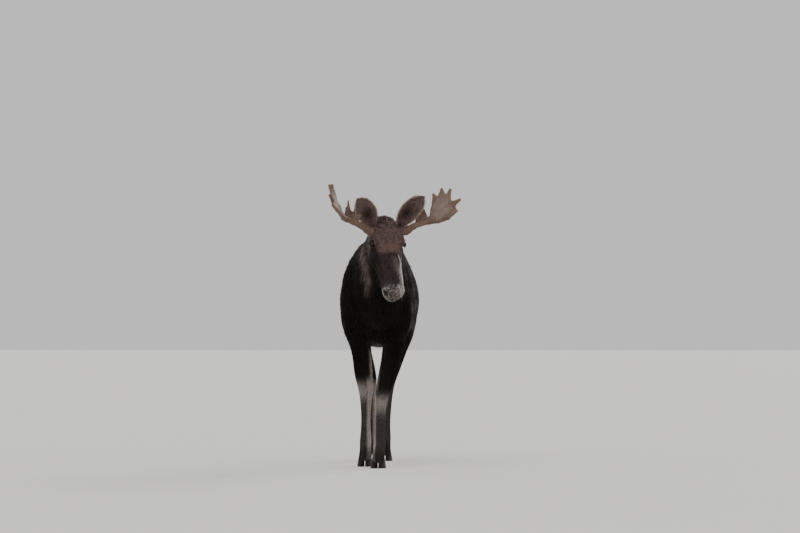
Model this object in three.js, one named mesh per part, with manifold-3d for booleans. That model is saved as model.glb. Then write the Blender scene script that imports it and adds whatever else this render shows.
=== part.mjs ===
// A young bull moose, life size, as a still museum model caught in mid stride with its head turned a little.
// Millimetres, +Z up. The moose faces -Y and its left side is +X. The origin lies on the floor, under the
// middle of the whole model. Every hoof stands on its own flat sole at z = 0.
//
// The flesh and the antlers are fields: each function tells how far a point lies outside a form, and forms
// are blended where muscle runs into muscle. net() wraps a field in a closed mesh, thin() takes away the
// triangles that flat stretches don't need, and cuts then part the body into its named pieces.
import * as THREE from "three";
import { mergeVertices } from "three/addons/utils/BufferGeometryUtils.js";
import Module from "manifold-3d";

const wasm = await Module();
wasm.setup();

// ---------------------------------------------------------------- driving sizes

const GAP = 0.3; // clear space between two pieces that touch
const SOCKET_GAP = 0.5; // and round a root whose curved faces don't grow evenly
const WITHERS = 1775; // height of the hump above the floor
const HEAD_PITCH = 62; // degrees that the face hangs below the level
const HEAD_YAW = 19.5; // degrees that the head turns to its left
const POLL = [85, -1052, 1862]; // where the skull meets the neck
const EYE_RADIUS = 21;
const EYE = [196, 120, 48]; // left eye's centre: along the face, out to the side, above its axis
const LIP_GAP = 4; // width of the mouth's line at the lips
const EAR_WIDTH = 150;
const HOOF_LENGTH = 140;
const HOOF_WIDTH = 57;
const LEG_TOP = 860; // height at which a leg parts from the shoulder or thigh
const CORONET = 62; // height of the top of a hoof
const HEAD_TRIANGLES = 2900;
const TRUNK_TRIANGLES = 3200;
const LEG_TRIANGLES = 540;
const ANTLER_TRIANGLES = 840;
const CENTRE_OFFSET = [-186.5, 367.4, 0]; // from the body's own axes to the model's middle

// ---------------------------------------------------------------- small vector tools

const radians = (degrees) => (degrees * Math.PI) / 180;
const mix = (a, b, t) => a + (b - a) * t;
const clamp = (v, low, high) => Math.min(high, Math.max(low, v));
const add = (a, b, s = 1) => [a[0] + b[0] * s, a[1] + b[1] * s, a[2] + b[2] * s];
const sub = (a, b) => add(a, b, -1);
const dot = (a, b) => a[0] * b[0] + a[1] * b[1] + a[2] * b[2];
const cross = (a, b) => [a[1] * b[2] - a[2] * b[1], a[2] * b[0] - a[0] * b[2], a[0] * b[1] - a[1] * b[0]];
const unit = (a) => add([0, 0, 0], a, 1 / Math.hypot(...a));
const mirror = (p) => [-p[0], ...p.slice(1)];

/** Catmull-Rom value of a table of rows, at share t of the way from row i to row i + 1. */
function splineRow(rows, i, t) {
  const [a, b, c, d] = [-1, 0, 1, 2].map((k) => rows[clamp(i + k, 0, rows.length - 1)]);
  return b.map(
    (v, n) =>
      v +
      0.5 * t * (c[n] - a[n] + t * (2 * a[n] - 5 * v + 4 * c[n] - d[n] + t * (3 * (v - c[n]) + d[n] - a[n]))),
  );
}

// ---------------------------------------------------------------- fields

/** Two forms run into each other over a fillet of the given reach. */
function blend(a, b, reach) {
  const h = Math.max(reach - Math.abs(a - b), 0) / reach;
  return Math.min(a, b) - (h * h * reach) / 4;
}
const carve = (a, b, reach) => -blend(-a, b, reach);

/**
 * A limb or trunk round a spine. Each station is [x, y, z, side, up, down]: a point of the spine and the
 * half width to both sides, the depth on the side that `across` x spine points to, and the depth opposite.
 */
function tube(stations, across, power = 2, steps = 4) {
  const rows = stations.slice(1).flatMap((_, i) =>
    Array.from({ length: steps }, (_, j) => splineRow(stations, i, j / steps)),
  );
  rows.push(stations.at(-1));
  const links = rows.slice(1).map((b, i) => {
    const a = rows[i];
    const along = sub(b, a);
    const side = unit(add(across, along, -dot(across, along) / dot(along, along)));
    return { a, b, along, square: dot(along, along), side, rise: unit(cross(along, side)) };
  });
  const lastLink = links.at(-1);
  return (x, y, z) => {
    let nearest = Infinity;
    let link;
    let share;
    for (const l of links) {
      const px = x - l.a[0];
      const py = y - l.a[1];
      const pz = z - l.a[2];
      const h = clamp((px * l.along[0] + py * l.along[1] + pz * l.along[2]) / l.square, 0, 1);
      const d = (px - l.along[0] * h) ** 2 + (py - l.along[1] * h) ** 2 + (pz - l.along[2] * h) ** 2;
      if (d < nearest) {
        nearest = d;
        link = l;
        share = h;
      }
    }
    const away = sub([x, y, z], add(link.a, link.along, share));
    let sideways = dot(away, link.side);
    let upward = dot(away, link.rise);
    const flat = Math.hypot(sideways, upward);
    const far = Math.sqrt(nearest);
    let beyond = 0;
    if ((link === links[0] && share === 0) || (link === lastLink && share === 1)) {
      beyond = Math.sqrt(Math.max(0, nearest - flat * flat));
    } else if (flat > 0) {
      // In the wedge outside a bend the whole distance counts across the spine, so no ridge shows.
      sideways *= far / flat;
      upward *= far / flat;
    }
    const width = mix(link.a[3], link.b[3], share);
    const slot = upward > 0 ? 4 : 5;
    const depth = mix(link.a[slot], link.b[slot], share);
    const ring = (Math.abs(sideways) / width) ** power + (Math.abs(upward) / depth) ** power;
    const cap = width / 2 + mix(link.a[4] + link.a[5], link.b[4] + link.b[5], share) / 4;
    const size = Math.hypot(ring ** (1 / power), beyond / cap);
    return far * (1 - 1 / Math.max(size, 1e-3));
  };
}

/** A rounded lump with three half axes, turned by `tilt` degrees about the x axis. */
function lump(centre, radii, tilt = 0) {
  const c = Math.cos(radians(tilt));
  const s = Math.sin(radians(tilt));
  return (x, y, z) => {
    const p = sub([x, y, z], centre);
    const q = [p[0], c * p[1] + s * p[2], c * p[2] - s * p[1]];
    const size = Math.hypot(q[0] / radii[0], q[1] / radii[1], q[2] / radii[2]);
    return Math.hypot(...p) * (1 - 1 / Math.max(size, 1e-3));
  };
}

/** A bone that tapers from one ball to another. */
function taper(from, to, startRadius, endRadius) {
  const along = sub(to, from);
  const square = dot(along, along);
  return (x, y, z) => {
    const p = [x - from[0], y - from[1], z - from[2]];
    const h = clamp(dot(p, along) / square, 0, 1);
    return Math.hypot(...add(p, along, -h)) - mix(startRadius, endRadius, h);
  };
}

/** A flat web of the given thickness spanned by three corners. */
function web(a, b, c, thickness) {
  const edges = [[a, b], [b, c], [c, a]];
  const normal = unit(cross(sub(b, a), sub(c, a)));
  return (x, y, z) => {
    const p = [x, y, z];
    const inside = edges.every(([s, e]) => dot(cross(sub(e, s), normal), sub(p, s)) <= 0);
    if (inside) return Math.abs(dot(normal, sub(p, a))) - thickness / 2;
    const spans = edges.map(([s, e]) => {
      const along = sub(e, s);
      const h = clamp(dot(sub(p, s), along) / dot(along, along), 0, 1);
      return Math.hypot(...sub(p, add(s, along, h)));
    });
    return Math.min(...spans) - thickness / 2;
  };
}

// ---------------------------------------------------------------- meshes from fields

/**
 * Wraps a field in a closed mesh: one point in each cell of a grid that the surface crosses. Blocks of cells
 * that lie well away from the surface keep the value at their middle.
 */
function net(field, low, high, cell, block = 4) {
  const count = low.map((v, i) => block * Math.ceil((high[i] - v) / cell / block) + 1);
  const stride = [1, count[0], count[0] * count[1]];
  const values = new Float64Array(stride[2] * count[2]);
  const place = (i, j, k) => [low[0] + i * cell, low[1] + j * cell, low[2] + k * cell];
  const each = (from, to, step, visit) => {
    for (let k = from[2]; k < to[2]; k += step)
      for (let j = from[1]; j < to[1]; j += step)
        for (let i = from[0]; i < to[0]; i += step) visit(i, j, k, i + j * stride[1] + k * stride[2]);
  };
  const reach = 1.8 * block * cell; // fields tell up to twice the true distance
  each([0, 0, 0], count, block, (i, j, k) => {
    const half = block / 2;
    const middle = field(...place(i + half, j + half, k + half));
    const end = [i, j, k].map((v, axis) => Math.min(v + block, count[axis]));
    each([i, j, k], end, 1, (a, b, c, at) => {
      const rim = [a, b, c].some((v, axis) => v === 0 || v === count[axis] - 1);
      values[at] = rim ? cell : Math.abs(middle) > reach ? middle : field(...place(a, b, c));
    });
  });
  const spots = [];
  const faces = [];
  const owner = new Int32Array(values.length).fill(-1);
  const cells = count.map((v) => v - 1);
  each([0, 0, 0], cells, 1, (i, j, k, at) => {
    let crossings = 0;
    let sum = [0, 0, 0];
    for (let axis = 0; axis < 3; axis++)
      for (let corner = 0; corner < 4; corner++) {
        const offset = [0, 0, 0];
        offset[(axis + 1) % 3] = corner & 1;
        offset[(axis + 2) % 3] = corner >> 1;
        const from = at + dot(offset, stride);
        const a = values[from];
        const b = values[from + stride[axis]];
        if (a < 0 === b < 0) continue;
        offset[axis] = a / (a - b);
        sum = add(sum, offset);
        crossings++;
      }
    if (!crossings) return;
    owner[at] = spots.length;
    const share = sum.map((v) => v / crossings);
    spots.push(place(i + share[0], j + share[1], k + share[2]));
  });
  each([0, 0, 0], cells, 1, (i, j, k, at) => {
    for (let axis = 0; axis < 3; axis++) {
      const a = values[at];
      const b = values[at + stride[axis]];
      const [u, v] = [stride[(axis + 1) % 3], stride[(axis + 2) % 3]];
      if (a < 0 === b < 0) continue;
      const ring = [at - u - v, at - v, at, at - u].map((n) => owner[n]);
      if (b < 0) ring.reverse();
      faces.push([ring[0], ring[1], ring[2]], [ring[0], ring[2], ring[3]]);
    }
  });
  return { spots: spots.map((p) => settle(field, p, cell)), faces };
}

/** Moves a point onto the field's surface in two Newton steps, where it starts near it. */
function settle(field, spot, cell) {
  let p = spot;
  for (let step = 0; step < 2; step++) {
    const value = field(...p);
    if (Math.abs(value) > cell) return spot;
    const h = 0.5;
    const slope = [
      field(p[0] + h, p[1], p[2]) - field(p[0] - h, p[1], p[2]),
      field(p[0], p[1] + h, p[2]) - field(p[0], p[1] - h, p[2]),
      field(p[0], p[1], p[2] + h) - field(p[0], p[1], p[2] - h),
    ];
    const square = dot(slope, slope);
    if (square < 0.05) return spot;
    const limit = cell / (3 * Math.sqrt(square));
    p = add(p, slope, clamp((-value * 2 * h) / square, -limit, limit));
  }
  return p;
}

/**
 * Takes triangles away where the surface is nearly flat, down to `target` of them. Each edge in turn shrinks
 * to the point that stays nearest the planes round it, and none does that would fold or pinch the surface.
 */
function thin({ spots, faces }, target) {
  const around = spots.map(() => new Set());
  faces.forEach((f, n) => f.forEach((v) => around[v].add(n)));
  const quadrics = spots.map(() => new Float64Array(10));
  const gather = (q, n, d, weight) => {
    const r = [...n, d];
    let slot = 0;
    for (let i = 0; i < 4; i++) for (let j = i; j < 4; j++) q[slot++] += weight * r[i] * r[j];
  };
  for (const f of faces) {
    const [a, b, c] = f.map((v) => spots[v]);
    const normal = cross(sub(b, a), sub(c, a));
    const area = Math.hypot(...normal);
    if (area < 1e-9) continue;
    const n = add([0, 0, 0], normal, 1 / area);
    f.forEach((v) => gather(quadrics[v], n, -dot(n, a), area));
  }
  // A faint pull towards each point's own place keeps flat stretches evenly spaced.
  spots.forEach((p, v) =>
    [[1, 0, 0], [0, 1, 0], [0, 0, 1]].forEach((n) => gather(quadrics[v], n, -dot(n, p), 0.4)),
  );
  const cost = (q, [x, y, z]) =>
    q[0] * x * x + 2 * q[1] * x * y + 2 * q[2] * x * z + 2 * q[3] * x + q[4] * y * y +
    2 * q[5] * y * z + 2 * q[6] * y + q[7] * z * z + 2 * q[8] * z + q[9];
  const best = (a, b) => {
    const q = quadrics[a].map((v, i) => v + quadrics[b][i]);
    const [r0, r1, r2] = [[q[0], q[1], q[2]], [q[1], q[4], q[5]], [q[2], q[5], q[7]]];
    const det = dot(r0, cross(r1, r2));
    const middle = add(add([0, 0, 0], spots[a], 0.5), spots[b], 0.5);
    let options = [middle, spots[a], spots[b]];
    if (Math.abs(det) > 1e-6 * Math.abs(q[0] * q[4] * q[7])) {
      const d = [-q[3], -q[6], -q[8]];
      const minors = [dot(d, cross(r1, r2)), dot(r0, cross(d, r2)), dot(r0, cross(r1, d))];
      const solved = minors.map((v) => v / det);
      const reach = Math.hypot(...sub(spots[a], spots[b]));
      if (Math.hypot(...sub(solved, middle)) < reach) options = [solved];
    }
    const ranked = options.map((p) => ({ p, cost: cost(q, p) })).sort((m, n) => m.cost - n.cost);
    return { a, b, ...ranked[0], stamp: stamps[a] + stamps[b] };
  };
  const stamps = spots.map(() => 0);
  const heap = [];
  const push = (item) => {
    let i = heap.push(item) - 1;
    while (i > 0 && heap[(i - 1) >> 1].cost > heap[i].cost) {
      const up = (i - 1) >> 1;
      [heap[i], heap[up]] = [heap[up], heap[i]];
      i = up;
    }
  };
  const pop = () => {
    const top = heap[0];
    const last = heap.pop();
    if (!heap.length) return top;
    heap[0] = last;
    for (let i = 0; ; ) {
      let small = 2 * i + 1;
      if (small >= heap.length) break;
      if (small + 1 < heap.length && heap[small + 1].cost < heap[small].cost) small++;
      if (heap[small].cost >= heap[i].cost) break;
      [heap[i], heap[small]] = [heap[small], heap[i]];
      i = small;
    }
    return top;
  };
  const neighbours = (v) => {
    const found = new Set();
    around[v].forEach((n) => faces[n].forEach((w) => w !== v && found.add(w)));
    return found;
  };
  const normalOf = (f, v, p) => {
    const [a, b, c] = f.map((w) => (w === v ? p : spots[w]));
    return cross(sub(b, a), sub(c, a));
  };
  const staysOpen = (v, other, p) =>
    [...around[v]].every((n) => {
      const f = faces[n];
      if (f.includes(other)) return true;
      const before = normalOf(f, -1, p);
      const after = normalOf(f, v, p);
      const lengths = Math.hypot(...before) * Math.hypot(...after);
      const corners = f.map((w) => (w === v ? p : spots[w]));
      const longest = Math.max(...corners.map((c, i) => Math.hypot(...sub(c, corners[(i + 1) % 3]))));
      return dot(before, after) > 0.35 * lengths && Math.hypot(...after) > 0.06 * longest ** 2;
    });
  const dead = new Set();
  let left = faces.length;
  for (const f of faces)
    f.forEach((v, i) => {
      const w = f[(i + 1) % 3];
      if (v < w) push(best(v, w));
    });
  while (left > target && heap.length) {
    const item = pop();
    const { a, b, p, stamp } = item;
    if (dead.has(a) || dead.has(b) || stamp !== stamps[a] + stamps[b] || !around[a].size) continue;
    const near = neighbours(a);
    if (!near.has(b)) continue;
    const shared = [...neighbours(b)].filter((v) => near.has(v));
    if (shared.length !== 2 || !staysOpen(a, b, p) || !staysOpen(b, a, p)) continue;
    for (const n of [...around[b]]) {
      const f = faces[n];
      if (f.includes(a)) {
        f.forEach((v) => around[v].delete(n));
        faces[n] = null;
        left--;
      } else {
        f[f.indexOf(b)] = a;
        around[b].delete(n);
        around[a].add(n);
      }
    }
    dead.add(b);
    spots[a] = p;
    quadrics[a] = quadrics[a].map((v, i) => v + quadrics[b][i]);
    stamps[a] += stamps[b] + 1;
    for (const v of neighbours(a)) push(best(a, v));
  }
  return { spots, faces: faces.filter(Boolean) };
}

// ---------------------------------------------------------------- solids

/** A closed mesh as a solid that can be joined and cut. */
function solid({ spots, faces }) {
  return new wasm.Manifold(
    new wasm.Mesh({
      numProp: 3,
      vertProperties: Float32Array.from(spots.flat()),
      triVerts: Uint32Array.from(faces.flat()),
    }),
  );
}

/** A closed three.js geometry as a solid, after an optional placement. */
function solidFrom(geometry, matrix = new THREE.Matrix4()) {
  const bare = geometry.clone();
  Object.keys(bare.attributes).forEach((name) => name !== "position" && bare.deleteAttribute(name));
  const merged = mergeVertices(bare.applyMatrix4(matrix), 1e-3);
  return new wasm.Manifold(
    new wasm.Mesh({
      numProp: 3,
      vertProperties: Float32Array.from(merged.attributes.position.array),
      triVerts: Uint32Array.from(merged.index.array),
    }),
  );
}

/** The largest closed body, which drops scraps that a cut leaves. */
const largest = (made) => made.decompose().sort((a, b) => b.volume() - a.volume())[0];

/** Keeps what lies on the side of a plane that `normal` points to, half a gap back from it. */
const keep = (made, point, normal) => made.trimByPlane(normal, dot(point, normal) + GAP / 2);

/** A closed skin round rings of points, each ring with the same number of them, ends closed by a fan. */
function skinOf(rings) {
  const size = rings[0].length;
  const middle = (ring) => add([0, 0, 0], ring.reduce((a, b) => add(a, b)), 1 / size);
  const spots = [...rings.flat(), middle(rings[0]), middle(rings.at(-1))];
  const faces = [];
  const last = (rings.length - 1) * size;
  for (let i = 0; i < size; i++) {
    const j = (i + 1) % size;
    for (let r = 0; r < last; r += size) {
      faces.push([r + i, r + j, r + size + j], [r + i, r + size + j, r + size + i]);
    }
    faces.push([spots.length - 2, j, i], [spots.length - 1, last + i, last + j]);
  }
  const made = { spots, faces };
  return volumeOf(made) < 0 ? { spots, faces: faces.map(([a, b, c]) => [a, c, b]) } : made;
}

const volumeOf = ({ spots, faces }) =>
  faces.reduce((sum, [a, b, c]) => sum + dot(spots[a], cross(spots[b], spots[c])) / 6, 0);

// ---------------------------------------------------------------- trunk and neck

// Rear to front: spine point, half width, rise of the back above it and depth of the belly below it.
const TRUNK = [
  [0, 640, 1395, 172, 196, 215],
  [0, 570, 1385, 222, 242, 232],
  [0, 470, 1362, 252, 278, 272],
  [0, 330, 1330, 282, 322, 328],
  [0, 130, 1300, 306, 366, 360],
  [6, -60, 1290, 314, 400, 368],
  [18, -240, 1292, 294, 455, 362],
  [24, -390, 1300, 256, WITHERS - 1300, 358],
  [28, -510, 1318, 212, 440, 340],
  [30, -590, 1330, 165, 350, 280],
];
// Chest to poll.
const NECK = [
  [10, -440, 1450, 190, 290, 260],
  [32, -600, 1495, 180, 250, 256],
  [56, -750, 1568, 164, 212, 208],
  [76, -885, 1656, 144, 184, 158],
  [88, -985, 1740, 122, 148, 118],
  [90, -1050, 1800, 102, 100, 96],
];
const trunk = tube(TRUNK, [1, 0, 0]);
const neck = tube(NECK, unit([1, 0.12, 0]));

// ---------------------------------------------------------------- legs

// Each row: spine point, half width, depth in front and depth behind, from shoulder or hip to coronet.
const LEGS = {
  fore_left: [
    [150, -400, 1440, 84, 120, 130],
    [172, -490, 1230, 90, 120, 130],
    [160, -505, 1070, 90, 104, 124],
    [134, -535, 915, 84, 84, 94],
    [110, -585, 780, 72, 66, 70],
    [80, -622, 655, 60, 54, 56],
    [54, -648, 535, 51, 56, 48],
    [46, -664, 452, 43, 42, 43],
    [43, -694, 345, 36, 34, 42],
    [42, -722, 240, 37, 34, 44],
    [40, -738, 170, 45, 41, 51],
    [36, -766, 108, 45, 39, 45],
    [34, -790, 62, 50, 44, 46],
    [33, -806, 20, 50, 44, 46],
  ],
  fore_right: [
    [-150, -400, 1440, 84, 120, 130],
    [-172, -470, 1240, 90, 120, 130],
    [-155, -440, 1075, 88, 104, 124],
    [-124, -425, 925, 82, 84, 94],
    [-108, -428, 810, 73, 68, 73],
    [-96, -438, 695, 64, 57, 57],
    [-81, -450, 600, 58, 60, 49],
    [-80, -450, 505, 44, 44, 43],
    [-81, -444, 390, 36, 34, 42],
    [-82, -438, 290, 37, 34, 44],
    [-83, -436, 200, 44, 41, 51],
    [-84, -460, 122, 44, 39, 45],
    [-85, -486, 62, 50, 44, 46],
    [-85, -504, 20, 50, 44, 46],
  ],
  hind_left: [
    [120, 530, 1420, 110, 170, 170],
    [172, 490, 1255, 108, 190, 195],
    [182, 470, 1090, 88, 162, 172],
    [146, 520, 930, 68, 106, 114],
    [102, 592, 790, 51, 71, 64],
    [68, 645, 690, 43, 58, 51],
    [50, 670, 618, 43, 58, 52],
    [40, 668, 530, 37, 43, 47],
    [30, 656, 400, 34, 36, 43],
    [24, 645, 280, 35, 36, 44],
    [20, 640, 196, 43, 41, 51],
    [19, 618, 118, 43, 39, 45],
    [19, 594, 62, 48, 44, 46],
    [19, 576, 20, 48, 44, 46],
  ],
  hind_right: [
    [-120, 530, 1420, 110, 170, 170],
    [-172, 500, 1255, 108, 190, 195],
    [-184, 500, 1090, 88, 165, 170],
    [-160, 560, 930, 68, 108, 112],
    [-126, 640, 790, 51, 72, 66],
    [-106, 705, 690, 43, 58, 50],
    [-101, 728, 618, 43, 58, 52],
    [-98, 745, 530, 37, 43, 47],
    [-96, 766, 400, 34, 36, 43],
    [-96, 786, 280, 35, 36, 44],
    [-96, 800, 196, 43, 41, 51],
    [-96, 780, 118, 43, 39, 45],
    [-96, 758, 62, 48, 44, 46],
    [-96, 740, 20, 48, 44, 46],
  ],
};

// Muscle that stands out on the trunk: centre, half axes, tilt about the x axis.
const MUSCLES = [
  [[146, -450, 1390], [92, 150, 215], 20],
  [[178, -400, 1150], [74, 130, 150], -20],
  [[118, -560, 1240], [96, 90, 130], 10],
  [[146, 540, 1330], [102, 190, 230], -18],
  [[112, 655, 1290], [86, 112, 210], -10],
];

const limb = Object.fromEntries(Object.entries(LEGS).map(([name, rows]) => [name, tube(rows, [1, 0, 0])]));

// ---------------------------------------------------------------- head

const pitch = radians(HEAD_PITCH);
const yaw = radians(HEAD_YAW);
const faceAxis = [Math.sin(yaw) * Math.cos(pitch), -Math.cos(yaw) * Math.cos(pitch), -Math.sin(pitch)];
const leftAxis = [Math.cos(yaw), Math.sin(yaw), 0];
const crownAxis = cross(faceAxis, leftAxis);
const toHead = (x, y, z) => {
  const p = [x - POLL[0], y - POLL[1], z - POLL[2]];
  return [dot(p, faceAxis), dot(p, leftAxis), dot(p, crownAxis)];
};
const fromHead = ([u, v, w]) => add(add(add(POLL, faceAxis, u), leftAxis, v), crownAxis, w);

// In the head's own frame: along the face, to the left, above the face's axis; then side, up, down.
const FACE = [
  [12, 0, 0, 88, 50, 84],
  [80, 0, 6, 112, 84, 100],
  [145, 0, 6, 126, 102, 100],
  [200, 0, 0, 122, 98, 92],
  [270, 0, -8, 111, 88, 76],
  [340, 0, -12, 97, 85, 64],
  [410, 0, -12, 88, 88, 58],
  [480, 0, -12, 86, 92, 56],
  [528, 0, -14, 84, 92, 56],
  [554, 0, -18, 81, 84, 54],
];
const JAW = [
  [95, 0, -78, 84, 50, 80],
  [175, 0, -90, 98, 50, 84],
  [265, 0, -90, 96, 45, 76],
  [360, 0, -84, 80, 40, 58],
  [450, 0, -80, 60, 34, 42],
  [525, 0, -84, 51, 30, 32],
  [556, 0, -90, 45, 26, 28],
];
const faceTube = tube(FACE, [0, 1, 0], 2.4);
const jawTube = tube(JAW, [0, 1, 0], 2.2);
const CHEEK = lump([205, 76, -62], [122, 44, 84]);
const BROW = lump([172, 94, 74], [60, 28, 20]);
const NOSTRIL_WING = lump([586, 54, 4], [42, 30, 44]);
const OVERHANG = lump([572, 0, -52], [66, 63, 40]);
const PEDICLE = [[100, 76, 56], [94, 150, 76]];
const pedicleBone = taper(...PEDICLE, 38, 30);
const NOSTRIL = lump([604, 73, 4], [31, 23, 16]);
const NOSTRIL_TAIL = taper([592, 86, 10], [552, 94, 36], 11, 5);
const LID = { long: 24, short: 16, thick: 7, slant: 20 }; // the lids' rim, and its turn in degrees

/** How far a point in the head's frame lies outside the lids: a flattened ring that hugs the eyeball. */
function lids(u, v, w) {
  const [c, s] = [Math.cos(radians(LID.slant)), Math.sin(radians(LID.slant))];
  const across = c * (u - EYE[0]) - s * (w - EYE[2]);
  const upward = s * (u - EYE[0]) + c * (w - EYE[2]);
  const round = Math.max(1e-3, Math.hypot(across / LID.long, upward / LID.short));
  const steep = (upward / LID.short / round) ** 2;
  return Math.hypot((round - 1) * LID.long * 0.8, v - EYE[1] - mix(5, 12, steep)) - LID.thick;
}

function headField(x, y, z) {
  const [u, side, w] = toHead(x, y, z);
  const v = Math.abs(side);
  let f = blend(faceTube(u, v, w), jawTube(u, v, w), 36);
  f = blend(f, CHEEK(u, v, w), 40);
  f = blend(f, BROW(u, v, w), 34);
  f = blend(f, NOSTRIL_WING(u, v, w), 30);
  f = blend(f, OVERHANG(u, v, w), 26);
  f = blend(f, pedicleBone(u, v, w), 26);
  f = carve(f, NOSTRIL(u, v, w), 12);
  f = carve(f, NOSTRIL_TAIL(u, v, w), 8);
  return blend(f, lids(u, v, w), 13);
}

/** Leaves a field out, at the price of a cheap test, for points far from its box. */
function within(low, high, field) {
  const far = (v, axis) => v < low[axis] || v > high[axis];
  return (x, y, z) => (far(x, 0) || far(y, 1) || far(z, 2) ? 1e4 : field(x, y, z));
}
const REACH = 230; // beyond this no form bends another
const boxOf = (rows) => {
  const radius = REACH + Math.max(...rows.map((r) => Math.max(...r.slice(3))));
  const ends = (pick, sign) => [0, 1, 2].map((i) => pick(...rows.map((r) => r[i])) + sign * radius);
  return [ends(Math.min, -1), ends(Math.max, 1)];
};
const boxed = (rows, field) => within(...boxOf(rows), field);
const limbFields = Object.fromEntries(Object.keys(LEGS).map((name) => [name, boxed(LEGS[name], limb[name])]));
const headBox = [fromHead([0, 0, 0]), fromHead([620, 0, 0])].map((p) => [...p, 260, 0, 0]);
const muscleFields = MUSCLES.flatMap(([centre, radii, tilt]) =>
  [centre, mirror(centre)].map((c) => boxed([[...c, ...radii]], lump(c, radii, tilt))),
);
const headPart = boxed(headBox, headField);
const trunkPart = boxed(TRUNK, trunk);
const neckPart = boxed(NECK, neck);

/** The whole animal's flesh as one field. */
function body(x, y, z) {
  let f = blend(trunkPart(x, y, z), neckPart(x, y, z), 140);
  for (const muscle of muscleFields) f = blend(f, muscle(x, y, z), 110);
  for (const name in limbFields) f = blend(f, limbFields[name](x, y, z), 70);
  return blend(f, headPart(x, y, z), 60);
}

// ---------------------------------------------------------------- cutting the flesh into its pieces

const material = (color, roughness) => new THREE.MeshStandardMaterial({ color, roughness });
const DARK_COAT = material(0x241b17, 0.95);
const BROWN_COAT = material(0x4d3b33, 0.95);
const GREY_COAT = material(0x8d8075, 0.95);
const ANTLER = material(0x86766f, 0.62);
const HORN = material(0x2b2724, 0.5);
const EYEBALL = material(0x120c0a, 0.08);

const root = new THREE.Group();
root.position.set(...CENTRE_OFFSET);

/** Puts a finished solid into the model as a named piece. */
function piece(name, made, look) {
  const { numProp, vertProperties, triVerts } = made.getMesh();
  const geometry = new THREE.BufferGeometry();
  const spots = new Float32Array((vertProperties.length / numProp) * 3);
  for (let i = 0; i < spots.length / 3; i++)
    for (let axis = 0; axis < 3; axis++) spots[3 * i + axis] = vertProperties[numProp * i + axis];
  geometry.setAttribute("position", new THREE.BufferAttribute(spots, 3));
  geometry.setIndex(new THREE.BufferAttribute(Uint32Array.from(triVerts), 1));
  geometry.computeVertexNormals();
  const mesh = new THREE.Mesh(geometry, look);
  mesh.name = name;
  root.add(mesh);
}

/** The field's solid inside a box, thinned to about `target` triangles. */
const fieldSolid = (field, low, high, cell, target) => solid(thin(net(field, low, high, cell), target));

/** The box that holds every station of a limb. */
function spanOf(rows, from, to) {
  const reach = 70 + Math.max(...rows.slice(3).map((r) => Math.max(...r.slice(3))));
  const low = [0, 1].map((axis) => Math.min(...rows.slice(3).map((r) => r[axis])) - reach);
  const high = [0, 1].map((axis) => Math.max(...rows.slice(3).map((r) => r[axis])) + reach);
  return [[...low, from], [...high, to]];
}

const NECK_CUT = [[100, -1000, 1740], unit([0.2, -1, -0.05])];
const CHEST_CUT = [[10, -640, 1480], unit([0.12, -0.93, 0.37])];
const away = (normal) => normal.map((v) => -v);

const bodyFromHead = (u, v, w) => body(...fromHead([u, v, w]));
const headNet = thin(net(bodyFromHead, [-129.2, -204.6, -236.8], [680, 204, 174], 6), HEAD_TRIANGLES);
const skull = keep(solid({ ...headNet, spots: headNet.spots.map(fromHead) }), ...NECK_CUT);

const trunkWhole = fieldSolid(body, [-420, -1200, LEG_TOP - 60], [420, 940, 1980], 14, TRUNK_TRIANGLES);

// ---------------------------------------------------------------- locks of the mane

/** A repeatable draw between 0 and 1. */
let seed = 20;
const draw = () => {
  seed = (seed * 16807) % 2147483647;
  return seed / 2147483647;
};

/** The nearest place on a field's surface, by Newton steps from a point near it, and the way out there. */
function surfaceAt(field, start) {
  const h = 2;
  let at = start;
  let slope;
  for (let step = 0; step < 5; step++) {
    const steps = [[h, 0, 0], [0, h, 0], [0, 0, h]];
    slope = steps.map((d) => (field(...add(at, d)) - field(...sub(at, d))) / (2 * h));
    at = add(at, unit(slope), clamp(-field(...at) / Math.hypot(...slope), -80, 80));
  }
  return { at, out: unit(slope) };
}

/**
 * A flat, tapered lock of hair that lies along the surface. Its root is sunk in the flesh, it comes out at
 * about a third of its length, and it bends with the body and with its own `drift`.
 */
function lock(field, start, lie, length, width, drift) {
  const stations = [
    // share of the length, height above the skin, share of the width, thickness
    [0, -20, 0.8, 16],
    [0.28, -3, 1, 18],
    [0.55, 7, 0.86, 15],
    [0.8, 12, 0.52, 9],
    [1, 12, 0.08, 3],
  ];
  let spot = surfaceAt(field, start);
  let heading = lie;
  let before = 0;
  const rings = stations.map(([share, height, breadth, thickness]) => {
    spot = surfaceAt(field, add(spot.at, heading, length * (share - before)));
    before = share;
    const aside = unit(cross(spot.out, heading));
    heading = unit(add(cross(aside, spot.out), aside, drift));
    const middle = add(spot.at, spot.out, height);
    const corners = [[aside, width * breadth], [spot.out, thickness]];
    return [1, -1].flatMap((sign) => corners.map(([way, span]) => add(middle, way, (sign * span) / 2)));
  });
  return solid(skinOf(rings));
}

// Rows of locks along the crest, from behind the ears to behind the hump: how far to the side each row grows.
const MANE_ROWS = [-88, 0, 88];
const MANE_FROM = -920;
const MANE_TO = -180;
const MANE_STEP = 92;
const maneLocks = MANE_ROWS.flatMap((aside, row) => {
  const count = Math.round((MANE_TO - MANE_FROM) / MANE_STEP);
  return Array.from({ length: count }, (_, i) => {
    const y = MANE_FROM + (i + (row % 2) * 0.5) * MANE_STEP;
    const crest = 24 + clamp((-440 - y) / 545, 0, 1) * 66;
    const from = [crest + aside + 14 * (draw() - 0.5), y, 1880 - 0.18 * (y + 930)];
    const lie = unit([(aside / 88) * (0.2 + 0.5 * draw()) + 0.2 * (draw() - 0.5), 1, -0.25]);
    return lock(body, from, lie, 165 + 50 * draw(), 70 + 20 * draw(), 0.5 * (draw() - 0.5));
  });
});

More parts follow.
